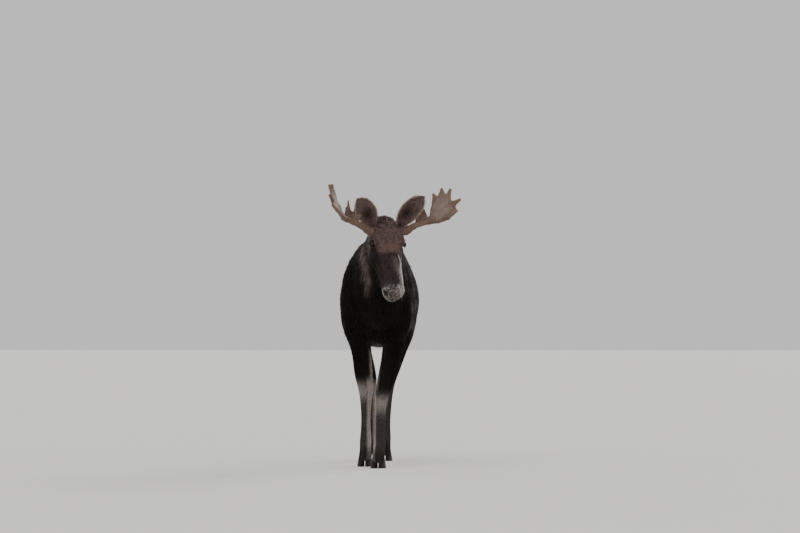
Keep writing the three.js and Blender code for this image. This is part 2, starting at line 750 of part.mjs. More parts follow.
const behindHead = keep(keep(trunkWhole, [0, 0, LEG_TOP], [0, 0, 1]), NECK_CUT[0], away(NECK_CUT[1]));
const maned = keep(wasm.Manifold.union([behindHead, ...maneLocks]), NECK_CUT[0], away(NECK_CUT[1]));
let neckSolid = largest(keep(maned, ...CHEST_CUT));
let torsoSolid = largest(keep(maned, CHEST_CUT[0], away(CHEST_CUT[1])));

// ---------------------------------------------------------------- mouth

// The line between the lips in the head's side view: along the face, above its axis, and how wide it gapes.
// Behind the corner of the mouth it runs on, closed, as the seam that parts the jaw from the head.
const MOUTH = [
  [700, -78, LIP_GAP],
  [625, -80, LIP_GAP],
  [560, -74, LIP_GAP],
  [490, -66, LIP_GAP],
  [430, -62, 1.2],
  [400, -62, GAP],
  [300, -84, GAP],
  [190, -108, GAP],
  [120, -150, GAP],
  [96, -300, GAP],
];
const HEAD_FRAME = new THREE.Matrix4().makeBasis(
  new THREE.Vector3(...faceAxis), new THREE.Vector3(...crownAxis), new THREE.Vector3(...leftAxis).negate());
HEAD_FRAME.setPosition(...POLL);

/** What lies below the mouth's line, with the line's edge moved up by `lift` times half its gape. */
function belowMouth(lift) {
  const outline = MOUTH.map(([u, w, gape]) => {
    const shift = (lift * gape) / 2;
    return new THREE.Vector2(u - (w < -150 ? shift : 0), w + shift);
  });
  outline.push(new THREE.Vector2(700, -300));
  const shape = new THREE.Shape(outline);
  const slab = new THREE.ExtrudeGeometry(shape, { depth: 500, bevelEnabled: false });
  slab.translate(0, 0, -250);
  return solidFrom(slab, HEAD_FRAME);
}
let jawSolid = largest(skull.intersect(belowMouth(-1)));
let headSolid = largest(skull.subtract(belowMouth(1)));

// ---------------------------------------------------------------- eyes

for (const [side, name] of [[1, "left"], [-1, "right"]]) {
  const spot = new THREE.Matrix4().makeBasis(
    new THREE.Vector3(...faceAxis), new THREE.Vector3(...leftAxis), new THREE.Vector3(...crownAxis));
  spot.setPosition(...fromHead([EYE[0], side * EYE[1], EYE[2]]));
  const ball = (radius) => solidFrom(new THREE.SphereGeometry(radius, 14, 10), spot);
  headSolid = headSolid.subtract(ball(EYE_RADIUS + GAP));
  piece(`eye_${name}`, ball(EYE_RADIUS), EYEBALL);
}

// ---------------------------------------------------------------- hooves and dewclaws

/**
 * One claw of a cloven hoof, standing on its sole. It is widest behind the middle, runs to a blunt point and
 * leans back from the toe to the coronet. `side` is 1 for the claw on the animal's left of the cleft.
 */
function claw(coronet, side, heading) {
  const levels = [0, 0.08, 0.45, 1].map((share) => ({
    height: share * (CORONET - GAP / 2),
    toe: mix(0.62, 0.26, share) * HOOF_LENGTH,
    heel: mix(0.38, 0.34, share) * HOOF_LENGTH,
    width: (share === 0 ? 0.94 : mix(1, 0.84, share)) * HOOF_WIDTH,
  }));
  const cleft = 3.5;
  const turn = heading - side * radians(5);
  const rings = levels.map(({ height, toe, heel, width }) =>
    Array.from({ length: 14 }, (_, i) => {
      const angle = (i / 14) * 2 * Math.PI;
      const ahead = Math.cos(angle);
      const out = Math.sin(angle) * Math.sqrt(1 - 0.32 * Math.max(0, ahead) ** 1.5);
      const x = side * cleft + (side * width) / 2 + (out * width) / 2;
      const y = ahead > 0 ? ahead * toe : ahead * heel;
      return [
        coronet[0] + x * Math.cos(turn) + y * Math.sin(turn),
        coronet[1] - y * Math.cos(turn) + x * Math.sin(turn),
        height,
      ];
    }),
  );
  return solid(skinOf(rings));
}

/** A small horn cone behind the fetlock, its root sunk in the leg. */
function dewclaw(start, tip, grow = 0) {
  const axis = unit(sub(tip, start));
  const side = unit(cross(axis, [0, 1, 0.2]));
  const rise = cross(side, axis);
  const rings = [[0, 16], [0.5, 16], [0.85, 12], [1, 6]].map(([share, radius]) => {
    const centre = add(start, sub(tip, start), share === 0 ? -grow / 10 : share);
    return Array.from({ length: 7 }, (_, i) => {
      const angle = (i / 7) * 2 * Math.PI;
      const reach = radius + grow;
      return add(add(centre, side, Math.cos(angle) * reach), rise, Math.sin(angle) * reach);
    });
  });
  return solid(skinOf(rings));
}

// ---------------------------------------------------------------- legs

const KNEES = { fore_left: 440, fore_right: 575, hind_left: 590, hind_right: 590 };

for (const [name, rows] of Object.entries(LEGS)) {
  const [low, high] = spanOf(rows, 20, LEG_TOP + 40);
  const whole = fieldSolid(limb[name], low, high, 9, LEG_TRIANGLES);
  const trimmed = keep(keep(whole, [0, 0, LEG_TOP], [0, 0, -1]), [0, 0, CORONET], [0, 0, 1]);
  const knee = [0, 0, KNEES[name]];
  const toes = rows[12];
  const heading = Math.atan2(rows[12][0] - rows[11][0], -(rows[12][1] - rows[11][1]));
  const inner = toes[0] > 0 ? -1 : 1;
  piece(`${name}_inner_hoof`, claw(toes, inner, heading), HORN);
  piece(`${name}_outer_hoof`, claw(toes, -inner, heading), HORN);
  let shank = keep(trimmed, knee, [0, 0, -1]);
  const fetlock = rows[10];
  for (const [offset, place] of [[inner, "inner"], [-inner, "outer"]]) {
    const from = [fetlock[0] + offset * 18, fetlock[1] + 14, fetlock[2] - 30];
    const to = [fetlock[0] + offset * 30, fetlock[1] + 52, fetlock[2] - 92];
    shank = shank.subtract(dewclaw(from, to, GAP));
    piece(`${name}_${place}_dewclaw`, dewclaw(from, to), HORN);
  }
  piece(`${name}_upper_leg`, largest(keep(trimmed, knee, [0, 0, 1])), DARK_COAT);
  piece(`${name}_lower_leg`, largest(shank), GREY_COAT);
}

// ---------------------------------------------------------------- ears

const forwardAxis = [Math.sin(yaw), -Math.cos(yaw), 0];
const antlerRoot = fromHead([98, 0, 76]);
/** A point given to the side of the brow's middle, ahead of it and above it, on the left or the right. */
const fromBrow = ([across, ahead, up], side) =>
  add(add(add(antlerRoot, leftAxis, side * across), forwardAxis, ahead), [0, 0, 1], up);

const EARS = {
  left: { root: [74, -62, -24], middle: [132, -10, 122], tip: [270, 52, 256] },
  right: { root: [82, -62, -24], middle: [130, -10, 116], tip: [249, 50, 236] },
};
// Share of the ear's length, half width, depth of the cup and thickness of the wall.
const EAR_ROWS = [
  [0, 0.3, 22, 44],
  [0.16, 0.32, 24, 46],
  [0.27, 0.52, 34, 30],
  [0.4, 0.82, 42, 16],
  [0.55, 1, 40, 10],
  [0.7, 0.98, 32, 8],
  [0.83, 0.82, 22, 7],
  [0.93, 0.54, 12, 6],
  [1, 0.14, 4, 5],
];

/** The cup of an ear as a closed shell: an outer arc behind and an inner arc in front of it in each ring. */
function ear(which, side, grow = 0) {
  const { root: start, middle, tip } = EARS[which];
  const [a, b, c] = [start, middle, tip].map((p) => fromBrow(p, side));
  const along = (t) => add(add(add([0, 0, 0], a, (1 - t) ** 2), b, 2 * t * (1 - t)), c, t * t);
  const facing = unit(add(forwardAxis, leftAxis, side * 0.25));
  const rings = EAR_ROWS.map(([share, width, depth, wall]) => {
    const heading = unit(sub(along(share + 0.02), along(share - 0.02)));
    const centre = add(along(share), heading, share === 0 ? -grow : 0);
    const across = unit(cross(heading, facing));
    const front = cross(across, heading);
    const half = (width * EAR_WIDTH) / 2;
    const arc = (angle, ahead, reach) =>
      add(add(centre, across, Math.sin(angle) * reach), front, ahead - depth * Math.cos(angle));
    const angles = Array.from({ length: 7 }, (_, i) => radians(-90 + 30 * i));
    const wallAt = (angle) => wall * (0.3 + 0.7 * Math.cos(angle));
    const inner = half * 0.94 + (wall > depth ? grow : -grow); // the root is solid, the cup hollow
    return [
      ...angles.map((angle) => arc(angle, -grow, half + grow)),
      ...angles.toReversed().map((angle) => arc(angle, grow + wallAt(angle), inner)),
    ];
  });
  return solid(skinOf(rings));
}

// ---------------------------------------------------------------- antlers

const BURR = 146; // how far to the side the antler leaves its pedicle

// Beam stations from the burr to the palm's lower border: across, ahead, up, radius.
const BEAM = [
  [128, 0, -8, 28],
  [158, 0, 6, 29],
  [212, 0, 40, 23],
  [264, 6, 64, 22],
  [325, 36, 82, 21],
  [374, 130, 86, 16],
  [420, 236, 108, 12],
  [470, 256, 160, 9],
];
// Round the palm's margin, from the front border over the points to the inner border. A row that ends in
// true is a tine's tip, which grows from the middle of its neighbours.
const PALM = [
  [325, 36, 82],
  [374, 130, 82],
  [421, 248, 108],
  [480, 268, 168, true],
  [482, 240, 176],
  [478, 216, 208],
  [508, 262, 252, true],
  [470, 192, 236],
  [462, 160, 246],
  [474, 128, 330, true],
  [450, 85, 284],
  [433, 40, 336, true],
  [412, 8, 272],
  [394, -54, 296, true],
  [384, -36, 236],
  [362, -8, 178],
  [344, 14, 118],
];
const PALM_MIDDLE = [424, 98, 188];
const RIDGE = [[350, 30, 92], [402, 84, 190]];
const BROW_PALM = [[230, -8, 50], [334, 18, 86], [306, -30, 168], [250, -28, 128]];
const BROW_TINES = [
  [[292, -18, 130], [292, -38, 226], 18],
  [[254, -16, 90], [246, -34, 160], 15],
];
// On the right the brow palm runs on, leaning forward over the foot of the ear.
const RIGHT_BROW_PALM = [[236, 12, 58], [300, 6, 110], [220, 42, 118]];
const PALM_THICKNESS = 15;

/** The field of one antler: beam, webs of the palms and points, blended in turn. */
const antlerField = (forms) => (x, y, z) =>
  forms.reduce((f, [form, fillet]) => blend(f, form(x, y, z), fillet), 1e4);
const beamLinks = BEAM.slice(1).map((b, i) => taper(BEAM[i].slice(0, 3), b.slice(0, 3), BEAM[i][3], b[3]));
const antlerWebs = [
  ...PALM.map((a, i) => {
    const b = PALM[(i + 1) % PALM.length];
    return web(a.slice(0, 3), b.slice(0, 3), PALM_MIDDLE, PALM_THICKNESS);
  }),
  web(BROW_PALM[0], BROW_PALM[1], BROW_PALM[2], PALM_THICKNESS),
  web(BROW_PALM[0], BROW_PALM[2], BROW_PALM[3], PALM_THICKNESS),
];
const antlerTines = [
  ...PALM.map((tip, i) => [tip, i])
    .filter(([tip]) => tip[3])
    .map(([tip, i]) => {
      const base = [0, 1, 2].map((axis) => (PALM[i - 1][axis] + PALM[i + 1][axis]) / 2);
      return taper(base, tip.slice(0, 3), 12, 5);
    }),
  ...BROW_TINES.map(([from, to, radius]) => taper(from, to, radius, 5)),
  taper(...RIDGE, 12, 7),
];
const BEAM_FILLET = 10;
const PALM_FILLET = 12;
const ANTLER_BOX = [[114, -93.5, -62.5], [560, 330, 370]];
const ANTLER_CELL = 6;
const bothAntlers = [
  ...beamLinks.map((form) => [form, BEAM_FILLET]),
  ...[...antlerWebs, ...antlerTines].map((form) => [form, PALM_FILLET]),
];
const antlerForms = {
  left: bothAntlers,
  right: [...bothAntlers, [web(...RIGHT_BROW_PALM, PALM_THICKNESS), PALM_FILLET]],
};

/** The brow palm's share of the antler, above the beam and inside the main palm, grown by `grow`. */
function browRegion(side, grow) {
  const [near, far] = [72 - grow, 112 - grow];
  const outline = [[212, near], [337 + grow, far], [337 + grow, 400], [100, 400], [100, near]];
  const shape = new THREE.Shape(outline.map(([across, up]) => new THREE.Vector2(side * across, up)));
  const slab = new THREE.ExtrudeGeometry(shape, { depth: 240, bevelEnabled: false });
  slab.translate(0, 0, -120);
  const frame = new THREE.Matrix4().makeBasis(
    new THREE.Vector3(...leftAxis), new THREE.Vector3(0, 0, 1), new THREE.Vector3(...forwardAxis));
  frame.setPosition(...antlerRoot);
  return solidFrom(slab, frame);
}

// The two antlers aren't quite a pair: how far each spreads past the burr, and how much it droops outwards.
const SPREAD = { left: 0.95, right: 1.05 };
const DROOP = { left: 0.06, right: 0 };

for (const [side, name] of [[1, "left"], [-1, "right"]]) {
  const wrapped = net(antlerField(antlerForms[name]), ...ANTLER_BOX, ANTLER_CELL);
  const antlerNet = thin(wrapped, ANTLER_TRIANGLES);
  const spots = antlerNet.spots.map(([across, ahead, up]) => {
    const past = across - BURR;
    return fromBrow([BURR + past * SPREAD[name], ahead, up - past * DROOP[name]], side);
  });
  const faces = side > 0 ? antlerNet.faces.map(([a, b, c]) => [a, c, b]) : antlerNet.faces;
  const burr = fromBrow([BURR, 0, 0], side);
  const outward = add([0, 0, 0], leftAxis, side);
  const whole = keep(solid({ spots, faces }), burr, outward);
  headSolid = keep(headSolid, burr, away(outward));
  piece(`antler_${name}_palm`, largest(whole.subtract(browRegion(side, GAP))), ANTLER);
  piece(`antler_${name}_brow`, largest(whole.intersect(browRegion(side, 0))), ANTLER);
  headSolid = headSolid.subtract(ear(name, side, SOCKET_GAP));
  neckSolid = neckSolid.subtract(ear(name, side, SOCKET_GAP));
  piece(`ear_${name}`, ear(name, side), BROWN_COAT);
}

// ---------------------------------------------------------------- bell and tail

/** A hanging form: eight-sided level rings round stations of [x, y, z, half width, half depth], top first. */
function hanging(stations, grow = 0) {
  const rise = unit(sub(stations[0].slice(0, 3), stations[1].slice(0, 3)));
  const rings = stations.map(([x, y, z, width, depth], i) => {
    const centre = add([x, y, z], rise, i === 0 ? grow : 0);
    return Array.from({ length: 8 }, (_, k) => {
      const angle = (k / 8) * 2 * Math.PI;
      return add(centre, [Math.cos(angle) * (width + grow), Math.sin(angle) * (depth + grow), 0]);
    });
  });
  return solid(skinOf(rings));
}

/** Locks that hang round a form: rows of [height of the roots, number of locks]. */
function fringe(field, middle, rows, radius, length, width) {
  return rows.flatMap(([z, count]) =>
    Array.from({ length: count }, (_, i) => {
      const angle = ((i + 0.5 * draw()) / count) * 2 * Math.PI;
      const [ahead, aside] = [Math.cos(angle), Math.sin(angle)];
      const from = add(middle, [ahead * radius, aside * radius, z]);
      const lie = unit([0.12 * ahead, 0.12 * aside, -1]);
      return lock(field, from, lie, length * (0.8 + 0.4 * draw()), width, 0.6 * (draw() - 0.5));
    }),
  );
}

const throat = fromHead([252, 0, -160]);
const BELL = [
  // ahead of the throat, above it, half width, half depth
  [0, 34, 28, 46],
  [0, 0, 30, 50],
  [-4, -60, 24, 36],
  [-8, -130, 18, 24],
  [-12, -200, 6, 8],
].map(([ahead, up, width, depth]) => [throat[0], throat[1] - ahead, throat[2] + up, width, depth]);
const bellField = tube(BELL.map((r) => [...r, r[4]]), leftAxis);
const bellMiddle = [...BELL[2].slice(0, 2), throat[2]];
const bellLocks = fringe(bellField, bellMiddle, [[-62, 4], [-106, 4]], 40, 110, 42);
const bellSocket = hanging(BELL, SOCKET_GAP);
jawSolid = jawSolid.subtract(bellSocket);
neckSolid = neckSolid.subtract(bellSocket);
piece("bell", largest(wasm.Manifold.union([hanging(BELL), ...bellLocks])), DARK_COAT);

// The tail hugs the rump: height, half width, half depth, and how far its middle stands out of the skin.
const TAIL = [
  [1545, 34, 24, -34],
  [1510, 42, 26, -8],
  [1462, 42, 24, 6],
  [1412, 32, 20, 8],
  [1366, 10, 8, 6],
].map(([z, width, depth, out]) => [0, surfaceAt(body, [0, 860, z]).at[1] + out, z, width, depth]);
torsoSolid = torsoSolid.subtract(hanging(TAIL, SOCKET_GAP));
piece("tail", hanging(TAIL), DARK_COAT);

piece("head", largest(headSolid), BROWN_COAT);
piece("lower_jaw", largest(jawSolid), BROWN_COAT);
piece("neck", largest(neckSolid), DARK_COAT);
piece("torso", largest(torsoSolid), DARK_COAT);

export default root;
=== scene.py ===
import math

import bpy
import numpy as np
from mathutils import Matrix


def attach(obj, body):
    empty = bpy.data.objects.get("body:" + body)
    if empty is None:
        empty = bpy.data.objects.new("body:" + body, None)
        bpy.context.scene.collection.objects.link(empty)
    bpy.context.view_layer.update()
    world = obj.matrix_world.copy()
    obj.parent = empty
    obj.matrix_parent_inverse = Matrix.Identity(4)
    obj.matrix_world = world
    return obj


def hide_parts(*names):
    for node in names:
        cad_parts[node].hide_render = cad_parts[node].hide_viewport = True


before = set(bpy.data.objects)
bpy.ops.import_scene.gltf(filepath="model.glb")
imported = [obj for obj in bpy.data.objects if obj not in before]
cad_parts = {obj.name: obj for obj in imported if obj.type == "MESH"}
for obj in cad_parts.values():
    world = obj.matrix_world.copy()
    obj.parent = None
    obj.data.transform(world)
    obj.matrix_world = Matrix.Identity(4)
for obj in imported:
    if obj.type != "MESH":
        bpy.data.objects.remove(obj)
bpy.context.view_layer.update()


# ---------------------------------------------------------------- floor, light and camera
# The moose stands on a plain pale studio floor, under a soft pale sky and three broad lamps. A long lens at
# the height of its elbows looks at it almost straight from the front.

def linear(code):
    """An sRGB hex colour such as "#8d8075" as linear red, green, blue and alpha 1."""
    parts = [int(code[i:i + 2], 16) / 255 for i in (1, 3, 5)]
    return [p / 12.92 if p < 0.04045 else ((p + 0.055) / 1.055) ** 2.4 for p in parts] + [1.0]


def node(tree, kind, settings=None, links=None):
    """Adds a shader node, sets sockets or properties by name and links sockets to (node, output) pairs."""
    made = tree.nodes.new(kind)
    for name, value in (settings or {}).items():
        if isinstance(name, str) and hasattr(made, name):
            setattr(made, name, value)
        else:
            made.inputs[name].default_value = value
    for name, (source, output) in (links or {}).items():
        tree.links.new(source.outputs[output], made.inputs[name])
    return made


def new_material(name):
    """An empty node material and its output node."""
    made = bpy.data.materials.new(name)
    made.use_nodes = True
    made.node_tree.nodes.clear()
    return made, made.node_tree, node(made.node_tree, "ShaderNodeOutputMaterial")


def new_object(name, points, faces, material, rounded=True):
    """A mesh object at the origin from an array of points and an array of faces with equally many corners,
    shaded as rounded or as flat."""
    points, faces = np.asarray(points, np.float32), np.asarray(faces, np.int32)
    mesh = bpy.data.meshes.new(name)
    mesh.vertices.add(len(points))
    mesh.vertices.foreach_set("co", points.ravel())
    mesh.loops.add(faces.size)
    mesh.loops.foreach_set("vertex_index", faces.ravel())
    mesh.polygons.add(len(faces))
    mesh.polygons.foreach_set("loop_start", np.arange(0, faces.size, faces.shape[1]))
    mesh.polygons.foreach_set("use_smooth", np.full(len(faces), rounded))
    mesh.update(calc_edges=True)
    mesh.materials.append(material)
    made = bpy.data.objects.new(name, mesh)
    bpy.context.collection.objects.link(made)
    return made


# Floor paint: matt, so that it takes soft shadows, in two close greys that run into one another.
floor_paint, tree, output = new_material("matt studio floor paint")
grain = node(tree, "ShaderNodeTexNoise", {"Scale": 1.5, "Detail": 2.0})
tone = node(tree, "ShaderNodeMix",
            {"data_type": "RGBA", 6: linear("#dedcd9"), 7: linear("#e6e4e1")},
            {0: (grain, 0)})
shader = node(tree, "ShaderNodeBsdfPrincipled", {"Roughness": 0.85}, {"Base Color": (tone, 2)})
tree.links.new(shader.outputs[0], output.inputs[0])
HALF = 150.0  # metres from the middle of the floor to its edge, so far that the edge meets the sky
floor = new_object("floor", [[-HALF, -HALF, 0], [HALF, -HALF, 0], [HALF, HALF, 0], [-HALF, HALF, 0]],
                   [[0, 1, 2, 3]], floor_paint, rounded=False)

world = bpy.data.worlds.new("soft sky")
bpy.context.scene.world = world
world.use_nodes = True
world.node_tree.nodes["Background"].inputs["Color"].default_value = linear("#e4e3e4")
world.node_tree.nodes["Background"].inputs["Strength"].default_value = 0.92

# lamps: name, where the light comes from, strength in W/m2, how broad it is in degrees
for name, source, watts, breadth in [("key_light", (-0.4, -0.8, 1.0), 0.8, 40),
                                     ("rim_light", (0.55, 1.0, 0.5), 1.6, 25),
                                     ("rim_light_right", (-0.4, 1.0, 0.4), 0.5, 25)]:
    data = bpy.data.lights.new(name, "SUN")
    data.energy, data.angle = watts, math.radians(breadth)
    lamp = bpy.data.objects.new(name, data)
    x, y, z = source
    lamp.rotation_euler = (math.atan2(math.hypot(x, y), z), 0, math.atan2(x, -y))
    bpy.context.collection.objects.link(lamp)

LENS = 140.4  # mm on a 36 mm frame
DISTANCE = 24.0  # metres from the lens to the point between the forelegs
VIEW_TURN = math.radians(3.0)  # the camera stands a little to the moose's left of straight ahead
AIM = (-0.1865, -0.4126, 1.05)  # a point between the forelegs, at the lens's height
CAMERA_TILT = math.radians(91.19)  # it looks a little above the level
CAMERA_PAN = math.radians(0.479)
camera_data = bpy.data.cameras.new("camera")
camera_data.lens, camera_data.sensor_width = LENS, 36.0
camera_data.clip_end = 500
camera = bpy.data.objects.new("camera", camera_data)
camera.location = (AIM[0] + DISTANCE * math.sin(VIEW_TURN), AIM[1] - DISTANCE * math.cos(VIEW_TURN), AIM[2])
camera.rotation_euler = (CAMERA_TILT, 0, VIEW_TURN - CAMERA_PAN)
bpy.context.collection.objects.link(camera)
bpy.context.scene.camera = camera


# ---------------------------------------------------------------- skin
# One skin covers the whole animal, from the lips to the coronets. It is worked out as a field: each function
# tells how far a point lies outside a form, in millimetres, and muscle runs into muscle over soft fillets.

CENTRE = np.array([-186.5, 367.4, 0.0])  # from the body's own axes to the middle of the model, in mm
WITHERS = 1775.0
FORE_MIDDLE, HIND_MIDDLE = -20, -38  # sideways, the middle between the two forelegs and between the hind legs
POLL = np.array([85.0, -1052.0, 1862.0])  # the top of the skull, where the head's own frame starts
HEAD_PITCH, HEAD_YAW = math.radians(62), math.radians(19.5)

# Rear to front: spine point, half width, rise of the back and depth of the belly.
TRUNK = [
    [0, 640, 1395, 172, 196, 215], [0, 570, 1385, 222, 242, 232], [0, 470, 1362, 252, 278, 272],
    [0, 330, 1330, 282, 322, 328], [0, 130, 1300, 306, 366, 360], [6, -60, 1290, 314, 400, 368],
    [18, -240, 1292, 294, 455, 362], [24, -390, 1300, 256, WITHERS - 1300, 358],
    [28, -510, 1318, 212, 440, 340], [30, -590, 1330, 165, 350, 280],
]
NECK = [
    [10, -440, 1450, 190, 290, 260], [32, -600, 1495, 180, 250, 256], [56, -750, 1568, 164, 212, 208],
    [76, -885, 1656, 144, 184, 158], [88, -985, 1740, 122, 148, 118], [90, -1050, 1800, 102, 100, 96],
]
# Spine point, half width, depth in front and depth behind, from the shoulder or hip down to the hoof.
LEGS = {
    "fore_left": [
        [150, -400, 1440, 84, 120, 130], [172, -490, 1230, 90, 120, 130], [160, -505, 1070, 90, 104, 124],
        [134, -535, 915, 84, 84, 94], [110, -585, 780, 72, 66, 70], [80, -622, 655, 60, 54, 56],
        [54, -648, 535, 51, 56, 48], [46, -664, 452, 43, 42, 43], [43, -694, 345, 36, 34, 42],
        [42, -722, 240, 37, 34, 44], [40, -738, 170, 45, 41, 51], [36, -766, 108, 45, 39, 45],
        [34, -790, 62, 50, 44, 46], [33, -806, 20, 50, 44, 46]],
    "fore_right": [
        [-150, -400, 1440, 84, 120, 130], [-172, -470, 1240, 90, 120, 130], [-155, -440, 1075, 88, 104, 124],
        [-124, -425, 925, 82, 84, 94], [-108, -428, 810, 73, 68, 73], [-96, -438, 695, 64, 57, 57],
        [-81, -450, 600, 58, 60, 49], [-80, -450, 505, 44, 44, 43], [-81, -444, 390, 36, 34, 42],
        [-82, -438, 290, 37, 34, 44], [-83, -436, 200, 44, 41, 51], [-84, -460, 122, 44, 39, 45],
        [-85, -486, 62, 50, 44, 46], [-85, -504, 20, 50, 44, 46]],
    "hind_left": [
        [120, 530, 1420, 110, 170, 170], [172, 490, 1255, 108, 190, 195], [182, 470, 1090, 88, 162, 172],
        [146, 520, 930, 68, 106, 114], [102, 592, 790, 51, 71, 64], [68, 645, 690, 43, 58, 51],
        [50, 670, 618, 43, 58, 52], [40, 668, 530, 37, 43, 47], [30, 656, 400, 34, 36, 43],
        [24, 645, 280, 35, 36, 44], [20, 640, 196, 43, 41, 51], [19, 618, 118, 43, 39, 45],
        [19, 594, 62, 48, 44, 46], [19, 576, 20, 48, 44, 46]],
    "hind_right": [
        [-120, 530, 1420, 110, 170, 170], [-172, 500, 1255, 108, 190, 195], [-184, 500, 1090, 88, 165, 170],
        [-160, 560, 930, 68, 108, 112], [-126, 640, 790, 51, 72, 66], [-106, 705, 690, 43, 58, 50],
        [-101, 728, 618, 43, 58, 52], [-98, 745, 530, 37, 43, 47], [-96, 766, 400, 34, 36, 43],
        [-96, 786, 280, 35, 36, 44], [-96, 800, 196, 43, 41, 51], [-96, 780, 118, 43, 39, 45],
        [-96, 758, 62, 48, 44, 46], [-96, 740, 20, 48, 44, 46]],
}
# Muscle that stands out on the trunk: centre, half axes, tilt about the x axis.
MUSCLES = [
    [[146, -450, 1390], [92, 150, 215], 20], [[178, -400, 1150], [74, 130, 150], -20],
    [[118, -560, 1240], [96, 90, 130], 10], [[146, 540, 1330], [102, 190, 230], -18],
    [[112, 655, 1290], [86, 112, 210], -10],
]
# The bell under the throat and the tail that hugs the rump: spine point, half width, depth ahead and behind.
BELL = [
    [77, -1030, 1598, 28, 40, 40], [77, -1030, 1564, 30, 42, 42], [77, -1026, 1504, 22, 30, 30],
    [77, -1022, 1434, 14, 18, 18], [77, -1018, 1378, 6, 8, 8],
]
TAIL = [
    [0, 758, 1545, 30, 26, 22], [0, 790, 1510, 34, 30, 18], [0, 812, 1462, 32, 30, 16],
    [0, 818, 1412, 24, 24, 12], [0, 818, 1378, 10, 10, 6],
]
# In the head's own frame: along the face, to the left, above its axis; then half width, rise and depth.
FACE = [
    [12, 0, 0, 88, 50, 84], [80, 0, 6, 112, 84, 100], [145, 0, 6, 126, 102, 100], [200, 0, 0, 122, 98, 92],
    [270, 0, -8, 111, 88, 76], [340, 0, -12, 97, 85, 64], [410, 0, -12, 88, 88, 58],
    [480, 0, -12, 86, 92, 56], [528, 0, -14, 84, 92, 56], [554, 0, -18, 81, 84, 54],
]
JAW = [
    [95, 0, -78, 84, 50, 80], [175, 0, -90, 98, 50, 84], [265, 0, -90, 96, 45, 76], [360, 0, -84, 80, 40, 58],
    [450, 0, -80, 60, 34, 42], [525, 0, -84, 51, 30, 32], [556, 0, -90, 45, 26, 28],
]
EYE = np.array([196.0, 120.0, 48.0])
EYE_RADIUS = 21.0
# The line between the lips in the side view, a nostril's hollow (centre, half axes) and the slit behind it.
MOUTH = np.array([[700, -76], [600, -78], [550, -75], [490, -67], [430, -62]], float)
NOSTRIL = np.array([[604, 73, 4], [31, 23, 16]])
NOSTRIL_TAIL = np.array([[592, 86, 10], [552, 94, 36]])


def unit(v):
    """Vectors scaled to length 1."""
    return v / np.maximum(np.linalg.norm(v, axis=-1, keepdims=True), 1e-9)


def smooth(v, low, high):
    """0 below low, 1 above high and a smooth S between them."""
    t = np.clip((v - low) / (high - low), 0, 1)
    return t * t * (3 - 2 * t)


def peak(v, middle, width):
    """A bell-shaped bump: e to the power of less the square of v's way from the middle over the width."""
    return np.exp(-((v - middle) / width) ** 2)


def mix(a, b, share):
    """a moved towards b by a share from 0 to 1."""
    return a + (b - a) * share


def spline(rows, steps):
    """Catmull-Rom rows between the given ones, `steps` to each stretch, and the last row."""
    rows = np.asarray(rows, float)
    n = len(rows)
    i = np.repeat(np.arange(n - 1), steps)
    t = np.tile(np.arange(steps) / steps, n - 1)[:, None]
    a, b, c, d = (rows[np.clip(i + k, 0, n - 1)] for k in (-1, 0, 1, 2))
    between = b + 0.5 * t * (c - a + t * (2 * a - 5 * b + 4 * c - d + t * (3 * (b - c) + d - a)))
    return np.vstack([between, rows[-1:]])


def blend(a, b, reach):
    """The nearer of two forms, run together over a fillet: the minimum less h * h * reach / 4, where h falls
    from 1 where both are as near to 0 where they differ by the reach."""
    h = np.maximum(reach - np.abs(a - b), 0) / reach
    return np.minimum(a, b) - h * h * reach / 4


def carve(a, b, reach):
    """Form a without form b, with a soft rim."""
    return -blend(-a, b, reach)


def tube(p, stations, across, power=2.0, steps=4):
    """A limb round a spine: distance to the spine times one less the inverse of the superellipse's size."""
    rows = spline(stations, steps)
    a, b = rows[:-1], rows[1:]
    along = b[:, :3] - a[:, :3]
    square = (along ** 2).sum(1)
    across = np.asarray(across, float)
    side = unit(across - along * ((along @ across) / square)[:, None])
    rise = unit(np.cross(along, side))
    nearest, link, share = np.full(len(p), np.inf), np.zeros(len(p), int), np.zeros(len(p))
    for k in range(len(a)):
        q = p - a[k, :3]
        h = np.clip(q @ along[k] / square[k], 0, 1)
        d = ((q - h[:, None] * along[k]) ** 2).sum(1)
        near = d < nearest
        nearest = np.where(near, d, nearest)
        link = np.where(near, k, link)
        share = np.where(near, h, share)
    off = p - a[link, :3] - along[link] * share[:, None]
    x, y = (off * side[link]).sum(1), (off * rise[link]).sum(1)
    flat, far = np.hypot(x, y), np.sqrt(nearest)
    end = ((link == 0) & (share == 0)) | ((link == len(a) - 1) & (share == 1))
    beyond = np.where(end, np.sqrt(np.maximum(nearest - flat ** 2, 0)), 0)
    scale = np.where(end | (flat == 0), 1, far / np.maximum(flat, 1e-9))
    mixed = mix(a[link], b[link], share[:, None])
    depth = np.where(y > 0, mixed[:, 4], mixed[:, 5])
    ring = np.abs(x * scale / mixed[:, 3]) ** power + np.abs(y * scale / depth) ** power
    cap = mixed[:, 3] / 2 + (mixed[:, 4] + mixed[:, 5]) / 4
    size = np.hypot(ring ** (1 / power), beyond / cap)
    return far * (1 - 1 / np.maximum(size, 1e-3))


def lump(p, centre, radii, tilt=0.0):
    """A rounded lump with three half axes, turned by tilt degrees about the x axis."""
    c, s = math.cos(math.radians(tilt)), math.sin(math.radians(tilt))
    q = p - np.asarray(centre, float)
    turned = np.stack([q[:, 0], c * q[:, 1] + s * q[:, 2], c * q[:, 2] - s * q[:, 1]], 1)
    size = np.linalg.norm(turned / np.asarray(radii, float), axis=1)
    return np.linalg.norm(q, axis=1) * (1 - 1 / np.maximum(size, 1e-3))


